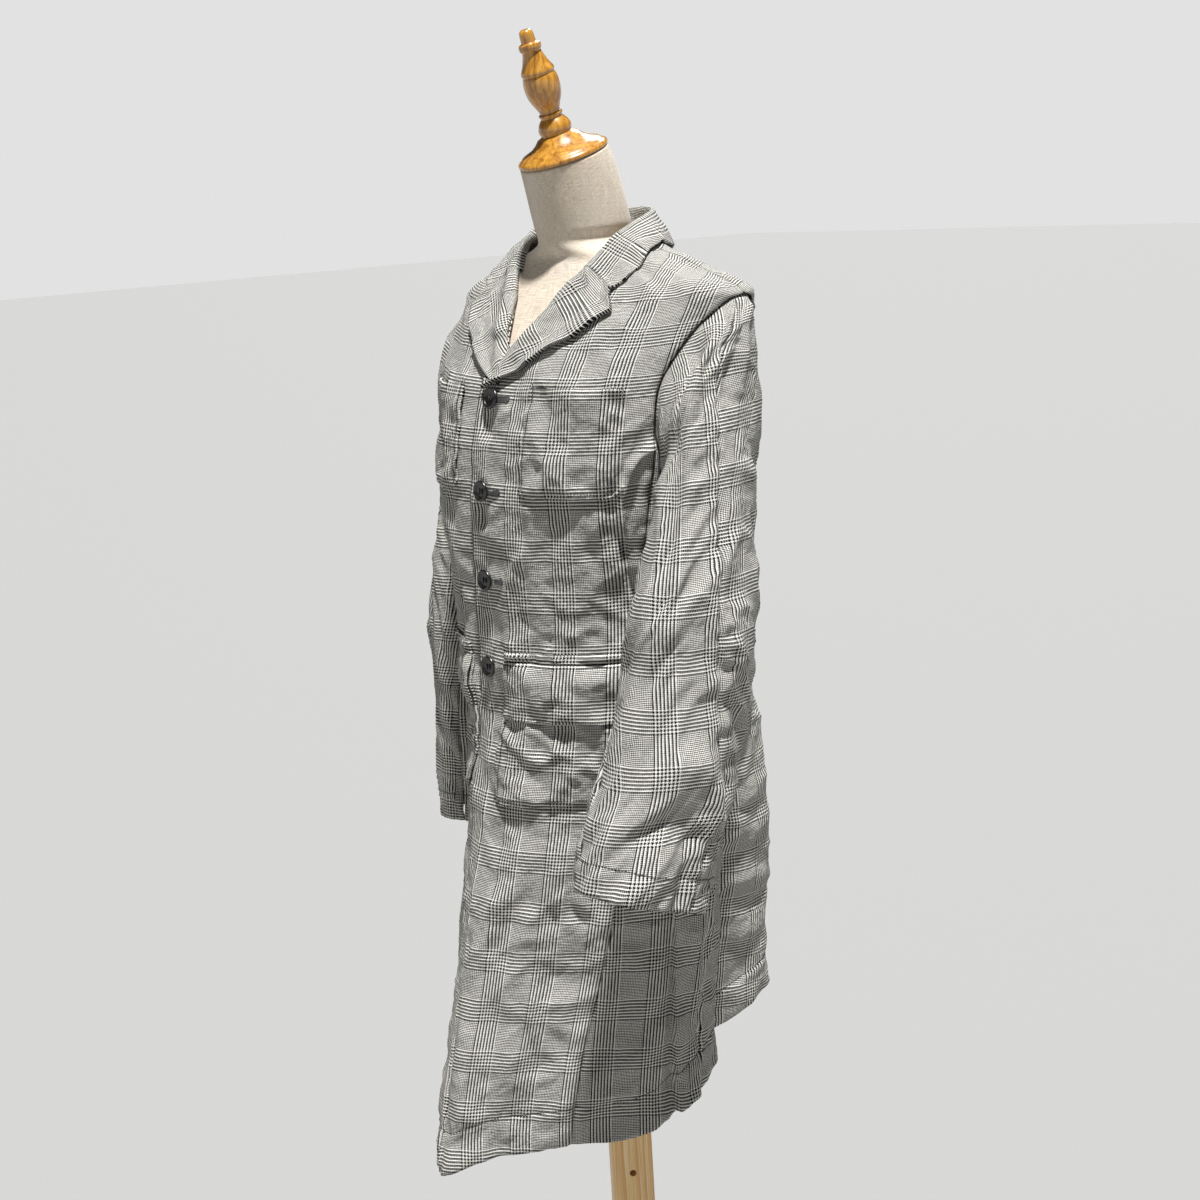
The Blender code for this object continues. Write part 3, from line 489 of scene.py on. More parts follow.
def creased(across, along, creases):
    """Height of all creases at places of the cloth, from a table of straight
    lines with soft ends; one scale for both directions, in metres."""
    total = np.zeros(np.broadcast(across, along).shape)
    for x0, y0, x1, y1, half, height in creases:
        dx, dy = x1 - x0, y1 - y0
        t = ((across - x0) * dx + (along - y0) * dy) / (dx * dx + dy * dy)
        bend = 0.12 * math.hypot(dx, dy) * np.sin(np.pi * np.clip(t, 0, 1))
        away = ((across - x0) * dy - (along - y0) * dx) / math.hypot(dx, dy) - bend
        ends = ease((t + 0.15) / 0.35) * ease((1.15 - t) / 0.35)
        total += height / 1000 * ends * np.exp(-(away / (half / 1000)) ** 2)
    return total


def crumple(across, along, size, seed, sharp=0.6):
    """Random relief of washed cloth, about -1 to 1: creased and rounded folds."""
    total = 0.0
    for turn, part in ((0.6, sharp), (2.0, 1.0 - sharp)):
        grid = np.random.default_rng(seed).uniform(-1.0, 1.0, (LATTICE, LATTICE))
        x = (across * math.cos(turn) - along * math.sin(turn)) / size + 7.0 * turn
        y = (across * math.sin(turn) + along * math.cos(turn)) / size
        i, j = np.floor(x).astype(int), np.floor(y).astype(int)
        fx, fy = ease(x - i), ease(y - j)
        i, j, i_next, j_next = (k % LATTICE for k in (i, j, i + 1, j + 1))
        low = grid[i, j] * (1 - fx) + grid[i_next, j] * fx
        high = grid[i, j_next] * (1 - fx) + grid[i_next, j_next] * fx
        value = low * (1 - fy) + high * fy
        total = total + part * (1.0 - 2.4 * np.abs(value) if turn < 1 else 1.5 * value)
    return total


def washed(across, along, seed):
    """All-over relief of the washed cloth in metres."""
    warp = 0.008 * crumple(across, along, 0.06, seed + 5, 0.0)
    return (0.0027 * crumple(across + warp, along - warp, 0.048, seed)
            + 0.0020 * crumple(across - warp, along + warp, 0.024, seed + 1)
            + 0.0009 * crumple(across + warp, along, 0.011, seed + 2))


def reach(level, most):
    """How many degrees from the side the armhole lies at a level."""
    cosine = (level - ARM) / ARM_HALF
    return most * np.maximum(0.0, 1 - cosine * cosine) ** (ARM_ROUND / 2)


def front_seam(level):
    """Angle of the seam between front and side."""
    top = 90.0 - reach(NOTCH, ARM_AHEAD)
    return 46.0 + (top - 46.0) * (level - HEM) / (NOTCH - HEM)


def back_seam(level):
    """Angle of the seam between side and back."""
    top = 90.0 + reach(NOTCH, ARM_BEHIND)
    return 108.0 + (top - 108.0) * (level - HEM) / (NOTCH - HEM)


def hem_at(angle):
    """Level of the hem: a little uneven, and lower before each side vent."""
    angle = (np.asarray(angle, float) + 180.0) % 360.0 - 180.0
    places, drops = np.array(HEM_WAVES).T
    value = np.zeros(angle.shape)
    for share in (-4.0, 0.0, 4.0):
        value += np.interp(angle + share, places, drops, period=360.0) / 3000.0
    return HEM + value          # the mean of three places, from mm to metres


def hem_drop(angle, flat):
    """How far a panel's points move to meet the uneven hem at its foot."""
    return (hem_at(angle) - HEM) * (1 - ease((flat - HEM) / HEM_FADES))


def underlap(x):
    """How far the right front sinks under the left one near its edge."""
    return UNDERLAP_DEPTH * ease((0.048 - x) / 0.024)


def sewn(away, along, seed, deep=0.0010, pucker=0.0007):
    """A sewn line: a narrow groove with little puckers running across it."""
    wave = crumple(along, along * 0.0 + seed, 0.0085, seed)
    return (-deep * np.exp(-(away / 0.0020) ** 2)
            + pucker * wave * np.exp(-(away / 0.0075) ** 2))


def coat_relief(angle, level):
    """Creases, crumples, seams and hem of the coat's body, outward in metres."""
    wide, across = np.abs(angle), angle * DEGREE
    lines = [(a * DEGREE, b, c * DEGREE, d, e, 1.3 * f) for a, b, c, d, e, f in CREASES]
    total = creased(across, level, lines) + washed(across, level, 11)
    total += (0.0012 * crumple(across, level * 0.35, 0.055, 31)
              * ease((1.02 - level) / 0.2))
    total *= 1.0 - 0.65 * np.exp(-((angle + 7.0) / 5.0) ** 2)      # pressed front edge
    below = ease((NOTCH + 0.01 - level) / 0.01)
    for seam, seed in ((front_seam(level), 3), (back_seam(level), 4)):
        away = (wide - seam) * DEGREE
        total += below * (sewn(away, level, seed, 0.0022)
                          + 0.0017 * ease((away + 0.013) / 0.003) * ease(-away / 0.0012))
    away = (180.0 - wide) * DEGREE
    total += sewn(away, level, 6, 0.0009, 0.0005)
    away = (wide - 90.0) * DEGREE
    total += ease((level - SHOULDER) / 0.006) * sewn(away, level, 7, 0.0010, 0.0006)
    away = (wide - VENT[0] - VENT[1] * (HEM - level)) * DEGREE
    total += ((0.0066 * ease(away / 0.0022) * (1 - ease((away - 0.022) / 0.016))
               - 0.0030 * np.exp(-((away + 0.002) / 0.004) ** 2))
              * ease((VENT[2] - level) / 0.05))
    line = level - hem_at(angle) - HEM_TURN
    total += sewn(line, across, 8, 0.0014, 0.0012)
    total += (0.0020 * crumple(across, line * 0.3, 0.017, 9)
              * ease(-line / 0.01)) + 0.0005 * (line < 0)
    arm = np.where(wide < 90, ARM_AHEAD, ARM_BEHIND)
    edge = (np.abs(wide - 90.0) - reach(level, arm)) * DEGREE
    inside = (level > NOTCH - 0.04) & (level < SHOULDER)
    total += inside * (0.0009 * crumple(level, across * 0.4, 0.011, 12)
                       * np.exp(-(edge / 0.012) ** 2) - 0.0012 * np.exp(-(edge / 0.003) ** 2))
    x0, y0, x1, y1 = DART
    t = (level - y0) / (y1 - y0)
    away = (wide - x0 - (x1 - x0) * t) * DEGREE
    total += ease((t + 0.02) / 0.05) * ease((1.02 - t) / 0.05) * sewn(away, level, 13)
    deepest = np.interp(level, (0.9, 1.12, 1.2, 1.29, 1.33), (0.012, 0.010, 0.004, 0.003, 0.0012))
    return np.where(total < 0, -deepest * np.tanh(-total / deepest), total)


def worn(angle, level, lie=0.0):
    """Points on the worn coat's outer face, or that far above it."""
    return coat_face(angle, level) + coat_out(angle, level) * (
        coat_relief(angle, level) + lie)[..., None]


def angle_at(x, level):
    """Angle at which the left front of a section has a given x."""
    x, level = np.broadcast_arrays(np.asarray(x, float), np.asarray(level, float))
    low, high = np.where(x >= 0, 0.0, -90.0), np.where(x >= 0, 90.0, 0.0)
    for _ in range(26):
        middle = (low + high) / 2
        short = section_point(middle, level)[0] < x
        low, high = np.where(short, middle, low), np.where(short, high, middle)
    return (low + high) / 2


WAIST, LEVEL_STEP = 1.0, 0.004


def measured():
    """Cloth lengths round and up the whole body, read by coat_chart."""
    angles, levels = np.arange(-200.0, 200.5, 1.0), np.arange(0.50, 1.412, LEVEL_STEP)
    points = coat_face(*np.meshgrid(angles, levels))
    up = run(points)
    return angles, levels, run(points, 1), up - up[int(round((WAIST - 0.50) / LEVEL_STEP))]


MEASURED = measured()


def coat_chart(angle, level, base):
    """Cloth coordinates in metres: across from a base angle, and up from the waist."""
    angles, levels, round_, up = MEASURED

    def read(table, a, l):
        x = np.clip(a, angles[0], angles[-1] - 1e-6) - angles[0]
        y = (np.clip(l, levels[0], levels[-1] - 1e-6) - levels[0]) / LEVEL_STEP
        i, j = x.astype(int), y.astype(int)
        i, j = np.minimum(i, len(angles) - 2), np.minimum(j, len(levels) - 2)
        s, t = x - i, y - j
        return ((table[j, i] * (1 - s) + table[j, i + 1] * s) * (1 - t)
                + (table[j + 1, i] * (1 - s) + table[j + 1, i + 1] * s) * t)

    angle, level, base = np.broadcast_arrays(angle, level, base)
    return np.stack([read(round_, angle, level) - read(round_, base, level),
                     read(up, angle, level)], -1)


def cloth_piece(node, points, chart, thick=CLOTH, turned=False):
    """A thin closed shell from a grid of outer points, with its chart; it stands
    for a solid, and says what cloth it was cut from."""
    rows, columns = points.shape[:2]
    up, across = np.gradient(points, axis=0), np.gradient(points, axis=1)
    out = unit(np.cross(across, up)) * (-1.0 if turned else 1.0)
    inner = points - out * thick
    count = rows * columns
    i, j = np.meshgrid(np.arange(rows - 1), np.arange(columns - 1), indexing="ij")
    a = (i * columns + j).ravel()
    quads = np.stack([a, a + 1, a + columns + 1, a + columns], -1)
    back = quads[:, ::-1] + count
    border = (list(range(columns)) + [r * columns + columns - 1 for r in range(1, rows)]
              + [(rows - 1) * columns + c for c in range(columns - 2, -1, -1)]
              + [r * columns for r in range(rows - 2, 0, -1)])
    rim = [(b, a, a + count, b + count) for a, b in zip(border, border[1:] + border[:1])]
    faces = quads.tolist() + back.tolist() + rim
    if turned:
        faces = [face[::-1] for face in faces]
    piece = new_piece(f"coat_{node}",
                      np.concatenate([points.reshape(-1, 3), inner.reshape(-1, 3)]),
                      faces, check, np.concatenate([chart.reshape(-1, 2)] * 2))
    across, up = np.diff(points, axis=1)[:-1], np.diff(points, axis=0)[:, :-1]
    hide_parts(node)
    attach(piece, "root")


def glen_check(name):
    """Glen check in 2/2 twill, thread by thread at its real size: 56 threads of
    four dark and four light, then 68 of two and two, in the warp and the weft."""
    made, tree, shader = new_finish(name, Roughness=0.9, Specular_IOR_Level=0.25)
    place = add_node(tree, "ShaderNodeUVMap", uv_map="cloth_metres").outputs["UV"]
    split = add_node(tree, "ShaderNodeSeparateXYZ", {0: place})

    # each row: what it gives, the sum, and the values or rows that it reads; the
    # black yarn is a little thicker than the ivory one, so its shares pass a half
    steps = []
    for way in ("warp", "weft"):
        steps += [
            (way, "DIVIDE", way + " metres", THREAD),
            (way + " order", "FLOORED_MODULO", way, 124.0),
            (way + " of eight", "FLOORED_MODULO", way + " order", 8.0),
            (way + " of four", "FLOORED_MODULO", way + " order", 4.0),
            (way + " fours", "LESS_THAN", way + " of eight", 4.6),
            (way + " twos", "LESS_THAN", way + " of four", 2.2),
            (way + " broad", "LESS_THAN", way + " order", 56.0),
            (way + " narrow", "SUBTRACT", 1.0, way + " broad"),
            (way + " fours dark", "MULTIPLY", way + " broad", way + " fours"),
            (way + " twos dark", "MULTIPLY", way + " narrow", way + " twos"),
            (way + " dark", "ADD", way + " fours dark", way + " twos dark"),
            (way + " step", "FLOOR", way)]
    steps += [
        # the bands of fours lie a little prouder than the twos that they cross
        ("prouder", "SUBTRACT", "warp broad", "weft broad"),
        ("warp over", "ADD", 1.5, "prouder"),
        ("both steps", "ADD", "warp step", "weft step"),
        ("step of four", "FLOORED_MODULO", "both steps", 4.0),
        ("twill", "LESS_THAN", "step of four", "warp over"),
        ("weft shows", "SUBTRACT", 1.0, "twill"),
        ("dark by warp", "MULTIPLY", "twill", "warp dark"),
        ("dark by weft", "MULTIPLY", "weft shows", "weft dark"),
        ("dark", "ADD", "dark by warp", "dark by weft")]
    given = {"warp metres": split.outputs[0], "weft metres": split.outputs[1]}
    for gives, operation, *values in steps:
        given[gives] = add_node(
            tree, "ShaderNodeMath",
            {slot: given.get(value, value) for slot, value in enumerate(values)},
            operation=operation).outputs[0]
    slub = add_node(tree, "ShaderNodeTexNoise", {
        "Vector": place, "Scale": 420.0, "Detail": 2.0}).outputs["Fac"]
    light, black = [
        add_node(tree, "ShaderNodeValToRGB", {"Fac": slub}, stops=tones).outputs["Color"]
        for tones in (((0.3, "#c6c4bc"), (0.7, "#e0ded6")),
                      ((0.3, "#060607"), (0.7, "#111113")))]
    colour = add_node(tree, "ShaderNodeMix", {0: given["dark"], 6: light, 7: black},
                      data_type="RGBA").outputs[2]
    tree.links.new(colour, shader.inputs["Base Color"])
    fine = add_node(tree, "ShaderNodeTexNoise", {
        "Vector": place, "Scale": 190.0, "Detail": 3.0, "Roughness": 0.55}).outputs["Fac"]
    relief = add_node(tree, "ShaderNodeBump", {"Height": fine, "Strength": 0.55,
                                               "Distance": 0.0022})
    tree.links.new(relief.outputs["Normal"], shader.inputs["Normal"])
    return made


def neckline(level):
    """x of the front's free edge: the front edge, then the lapel's roll line."""
    first, last = LAPEL[0], LAPEL[-1]
    roll = first[0] + (last[0] - first[0]) * (level - BREAK) / (last[1] - BREAK)
    neck = last[0] + (NECK_SIDE_X - last[0]) * (level - last[1]) / (TOP - last[1])
    return np.where(level <= BREAK, EDGE_X, np.where(level > last[1], neck, roll))


def levels_from(low, high):
    """Levels a fine step apart, both ends included."""
    return np.linspace(low, high, int(round((high - low) / FINE)) + 1)


check = glen_check("glen_check_cotton_linen")
tall = np.concatenate([levels_from(HEM, NOTCH), levels_from(NOTCH, SHOULDER)[1:],
                       levels_from(SHOULDER, TOP)[1:]])[:, None]
SIDE_COLUMNS = np.concatenate([np.linspace(0, 0.28, 12), np.linspace(0.28, 0.46, 26)[1:],
                               np.linspace(0.46, 1, 22)[1:]])     # finer at the vent
for side, word in SIDES:
    # front: from its free edge to the side seam, armhole and shoulder seam
    start = angle_at(neckline(tall), tall)
    if side < 0:
        start = np.where(tall <= BREAK, angle_at(-UNDERLAP_X, tall), start)
    end = np.where(tall <= NOTCH, front_seam(tall),
                   np.where(tall < SHOULDER, 90.0 - reach(tall, ARM_AHEAD), 90.0))
    angle = start + (end - start) * np.linspace(0, 1, 66)
    level = tall + hem_drop(side * angle, tall)
    x = section_point(angle, level)[0]
    under = 0.0016 * np.exp(-((x - EDGE_X) / 0.006) ** 2) * (level <= BREAK)
    under = under * (1.0 + 0.3 * crumple(level, level * 0, 0.02, 17))
    if side < 0:
        under = np.where(level <= BREAK + 0.03, -underlap(x), 0.0)
    points = worn(side * angle, level, under)
    chart = coat_chart(side * angle, level, side * angle_at(EDGE_X, level))
    cloth_piece(f"front_{word}", points, chart,
                turned=side < 0)

    # side: from hem to armhole, its top edge dipping under the arm
    share = np.linspace(0, 1, 215)[:, None]
    flat = HEM + (NOTCH - HEM) * share
    first, last = front_seam(flat), back_seam(flat)
    angle = first + (last - first) * SIDE_COLUMNS
    off = np.abs(angle - 90.0) / np.where(angle < 90, ARM_AHEAD, ARM_BEHIND)
    top = ARM - ARM_HALF * np.sqrt(np.maximum(0.0, 1 - off ** (2 / ARM_ROUND)))
    level = flat + (np.minimum(top, NOTCH) - NOTCH) * ease((share - 0.6) / 0.4)
    level = level + hem_drop(side * angle, flat)
    points = worn(side * angle, level)
    chart = coat_chart(side * angle, level, side * (first + last) / 2)
    cloth_piece(f"side_{word}", points, chart,
                turned=side < 0)

    # back: from the side seam to the centre back seam
    start = np.where(tall <= NOTCH, back_seam(tall),
                     np.where(tall < SHOULDER, 90.0 + reach(tall, ARM_BEHIND), 90.0))
    angle = start + (180.0 - start) * np.linspace(0, 1, 66)
    level = tall + hem_drop(side * angle, tall)
    points = worn(side * angle, level)
    chart = coat_chart(side * angle, level, np.full(angle.shape, side * 180.0))
    cloth_piece(f"back_{word}", points, chart,
                turned=side < 0)


# ============================================================ lapels
# The fronts' turned-back tops, each rolled softly at its fold and pressed
# flat towards its point.  Their check runs along the roll line.
RIM = 0.0034                # front and facing with their turned-in edges
gorge = {}
for side, word in SIDES:
    spine = np.concatenate([through(LAPEL[:5], 76),
                            np.linspace(LAPEL[4], LAPEL[5], 15)[1:]])
    if side < 0:
        spine = spine[6:]
    w = np.concatenate([np.linspace(0, 0.24, 14), np.linspace(0.27, 1.0, 28)])
    roll_x, roll_level, edge_x, edge_level = (spine[:, k:k + 1] for k in range(4))
    x = roll_x + (edge_x - roll_x) * w
    level = roll_level + (edge_level - roll_level) * w
    rolled = ease((roll_level - 1.262) / 0.03)
    width = np.abs(edge_x - roll_x)
    distance = w * width
    lie = (0.0007 + CLOTH + 0.0052 * rolled * np.exp(-((distance - 0.007) / 0.0075) ** 2)
           + 0.0006 * ease((w - 0.3) / 0.4) + 0.0036 * ease((w - 0.65) / 0.35))
    lie = np.where(w == 0, 0.0004, lie)
    if side < 0:
        lie = lie - underlap(x) * ease((1.306 - level) / 0.01)
    angle = side * angle_at(x, level)
    points = worn(angle, level, lie)
    inward = 0.0026 * rolled * np.exp(-((distance - 0.002) / 0.003) ** 2)
    points[..., 0] -= side * inward
    points[..., 2] -= 0.2 * inward
    gorge[side] = w, points[-1]
    arc, length = run(points, 1), run(points[:, 0])[:, None]
    chart = np.stack([side * (arc[:, -1:] - arc), length + 0.0 * w], -1)
    cloth_piece(f"lapel_{word}", points, chart, RIM,
                side < 0)


# ============================================================ collar
# Stand and fall of the collar in one piece, rolled over at the top and lying
# on the shoulders and on the back.
COLLAR = (
    # fold x    y       z     angle  level
    (0.0560, -0.0305, 1.3710,  31.0, 1.347),
    (0.0600, -0.0200, 1.3790,  47.0, 1.357),
    (0.0660, -0.0040, 1.3890,  59.0, 1.364),
    (0.0680,  0.0140, 1.3975,  74.0, 1.371),
    (0.0640,  0.0330, 1.4030, 100.0, 1.376),
    (0.0530,  0.0500, 1.4065, 126.0, 1.373),
    (0.0360,  0.0620, 1.4080, 148.0, 1.368),
    (0.0160,  0.0680, 1.4085, 168.0, 1.365),
    (0.0000,  0.0690, 1.4085, 180.0, 1.364),
)
STAND_FOOT, COLLAR_ROLL, COLLAR_LIE = 1.3892, 0.0042, 0.0042
FOLD_TOP, FALL_STARTS = 18, 22          # columns of the collar's rows, of 46
half = through(COLLAR, 60)
spine = np.concatenate([half[:-1] * (-1, 1, 1, -1, 1), half[::-1]])
spine[59:, 0] = np.abs(spine[59:, 0])
fold = spine[:, :3]
edge = coat_face(spine[:, 3], spine[:, 4]) + coat_out(spine[:, 3], spine[:, 4]) * (
    coat_relief(spine[:, 3], spine[:, 4]) + COLLAR_LIE)[:, None]
away = unit((edge - fold) * (1, 1, 0))
around = np.stack([-away[:, 1], away[:, 0], 0 * away[:, 0]], -1)
out = np.cross(unit(edge - fold), around)
out *= np.sign(out[:, 2:3])
z = fold[:, 2:3]
foot = np.where(z > STAND_FOOT + 0.004, np.maximum(STAND_FOOT, z - 0.018), z - 0.004)
lean, rise = away * COLLAR_ROLL, np.array([0.0, 0.0, 1.0])
profile = [fold - lean * 1.6 + rise * (foot - z), fold - lean * 1.2 + rise * (foot - z) * 0.5,
           fold - lean * 0.8, fold + rise * COLLAR_ROLL * 0.8, fold + lean * 0.8 + out * 0.001]
for w in (0.3, 0.55, 0.8, 1.0):
    profile.append(fold * (1 - w) + edge * w + out * 0.0035 * math.sin(math.pi * w))
rows = through(profile, 46).transpose(1, 0, 2)
# both ends are drawn on to the lapels' top edges, where the gorge seam joins them
for side, end in ((1, -1), (-1, 0)):
    fall = np.linspace(0, 1, rows.shape[1] - FOLD_TOP)
    seam = np.stack([np.interp(fall, gorge[side][0], gorge[side][1][:, k])
                     for k in range(3)], -1)
    shift = np.concatenate([
        np.repeat((seam[0] - rows[end, FOLD_TOP])[None], FOLD_TOP, 0),
        seam - rows[end, FOLD_TOP:]])
    gone = np.linalg.norm(fold - fold[end], axis=-1)
    rows = rows + shift[None] * (1.0 - ease(gone / 0.030))[:, None, None]
# the chart: along the fold, and down from it, also where the ends run aslant
heading = unit(np.gradient(rows[:, FALL_STARTS], axis=0))[:, None]
step = np.diff(rows, axis=1, prepend=rows[:, :1])
slant = (step * heading).sum(-1)
down = np.cumsum(np.sqrt(np.maximum((step ** 2).sum(-1) - slant ** 2, 0.0)), 1)
slide = np.cumsum(slant, 1)
length = run(rows[:, FALL_STARTS])[:, None] + slide - slide[:, FALL_STARTS, None]
chart = np.stack([length, down - down[:, FALL_STARTS, None]], -1)
rows = rows + 0.0004 * crumple(chart[..., 0], chart[..., 1], 0.016, 41)[..., None] * out[:, None]
cloth_piece("collar", rows, chart, 0.0026, True)


# ============================================================ sleeves
# Two-piece sleeves, each from one closed tube split at its two seams; the
# left arm hangs forward, and both are crumpled at the elbow and at the cuff.
ARM_FIT, TUCK, SLEEVE_SWELL, SEAM_SWING = 0.968, 0.0060, 0.008, 26.0
CUFF_TURN, CROWN = 0.030, 1.10          # the cuff's turned edge; the crown's level
SLEEVE_LEFT = (
    # z      outer   x      y      across along  drop
    (1.208, 0.074, 0.1880, -0.015, 0.023, 0.053, 0.000),
    (1.166, 0.050, 0.1940, -0.032, 0.031, 0.057, 0.002),
    (1.112, 0.018, 0.2020, -0.053, 0.039, 0.060, 0.006),
    (1.060, 0.000, 0.2090, -0.070, 0.048, 0.062, 0.008),
    (1.015, 0.000, 0.2090, -0.076, 0.048, 0.061, 0.010),
    (0.968, 0.000, 0.2090, -0.091, 0.047, 0.060, 0.014),
    (0.915, 0.000, 0.2090, -0.110, 0.049, 0.062, 0.018),
    (0.872, 0.000, 0.2080, -0.129, 0.050, 0.064, 0.020),
    (0.822, 0.000, 0.2070, -0.146, 0.048, 0.062, 0.022),
)
SLEEVE_RIGHT = (
    # z      outer   x      y      across along  drop
    (1.208, 0.074, -0.1810,  0.016, 0.023, 0.051, 0.000),
    (1.166, 0.050, -0.1880,  0.023, 0.031, 0.056, 0.000),
    (1.112, 0.018, -0.1960,  0.025, 0.039, 0.058, 0.000),
    (1.060, 0.000, -0.2050,  0.020, 0.046, 0.059, 0.000),
    (1.015, 0.000, -0.2060,  0.016, 0.046, 0.059, 0.000),
    (0.968, 0.000, -0.2060,  0.014, 0.046, 0.059, 0.002),
    (0.915, 0.000, -0.2060,  0.014, 0.047, 0.060, 0.004),
    (0.850, 0.000, -0.2050,  0.012, 0.047, 0.061, 0.006),
    (0.778, 0.000, -0.2040,  0.008, 0.046, 0.060, 0.008),
)
SLEEVE_CREASES = {
    "left": (
        # from round, down   to round, down (m)   half width  height (mm)
        (-0.060, 0.060, -0.030, 0.150,  9.,  3.0),
        (-0.020, 0.030, -0.035, 0.130,  8., -2.4),
        (-0.075, 0.100, -0.050, 0.240,  8., -3.0),
        (-0.040, 0.170, -0.055, 0.270,  8.,  2.8),
        ( 0.010, 0.190, -0.040, 0.230,  8., -2.6),
        ( 0.015, 0.225, -0.030, 0.275,  8.,  3.0),
        (-0.060, 0.290, -0.010, 0.310,  8., -3.0),
        (-0.050, 0.330,  0.005, 0.360,  9.,  3.2),
        (-0.070, 0.400, -0.020, 0.380,  9., -2.6),
        (-0.078, 0.400, -0.014, 0.548,  9., -9.0),
        (-0.062, 0.372,  0.002, 0.512, 11.,  7.5),
        (-0.092, 0.440, -0.034, 0.562,  8.,  3.0),
        (-0.020, 0.480,  0.000, 0.515,  5., -3.5),
        (-0.045, 0.006, -0.052, 0.080,  6., -2.8),
        (-0.033, 0.004, -0.038, 0.095,  6.,  2.6),
        (-0.020, 0.004, -0.022, 0.065,  5., -2.6),
        ( 0.004, 0.004,  0.008, 0.100,  6., -2.8),
        ( 0.017, 0.004,  0.022, 0.110,  6.,  2.6),
        (-0.056, 0.235, -0.046, 0.262,  5., -3.0),
        (-0.044, 0.292, -0.038, 0.318,  5., -3.0),
        (-0.088, 0.030, -0.052, 0.225,  7., -5.0),
        (-0.102, 0.040, -0.068, 0.225,  6.,  3.5),
        ( 0.020, 0.300,  0.050, 0.330,  5.,  2.6),
        ( 0.022, 0.340,  0.055, 0.350,  5., -2.6),
        ( 0.022, 0.370,  0.055, 0.395,  5.,  2.8),
        ( 0.024, 0.420,  0.060, 0.430,  5., -2.8),
        ( 0.090, 0.150,  0.130, 0.260, 10.,  3.0),
        ( 0.140, 0.200,  0.110, 0.330, 10., -3.0),
    ),
    "right": (
        (-0.050, 0.060, -0.020, 0.150,  9.,  2.8),
        (-0.070, 0.140, -0.050, 0.260,  8., -3.0),
        ( 0.010, 0.200, -0.045, 0.240,  8., -2.8),
        ( 0.010, 0.240, -0.040, 0.290,  8.,  3.0),
        (-0.055, 0.330,  0.000, 0.370,  9.,  3.2),
        (-0.065, 0.420, -0.010, 0.400,  9., -2.8),
        (-0.060, 0.500,  0.000, 0.540, 10.,  3.4),
        ( 0.020, 0.330,  0.055, 0.350,  5., -2.4),
        ( 0.022, 0.380,  0.055, 0.395,  5.,  2.6),
        ( 0.090, 0.160,  0.130, 0.270, 10.,  3.0),
        ( 0.140, 0.220,  0.110, 0.340, 10., -3.0),
    ),
}
stitched_lines = []
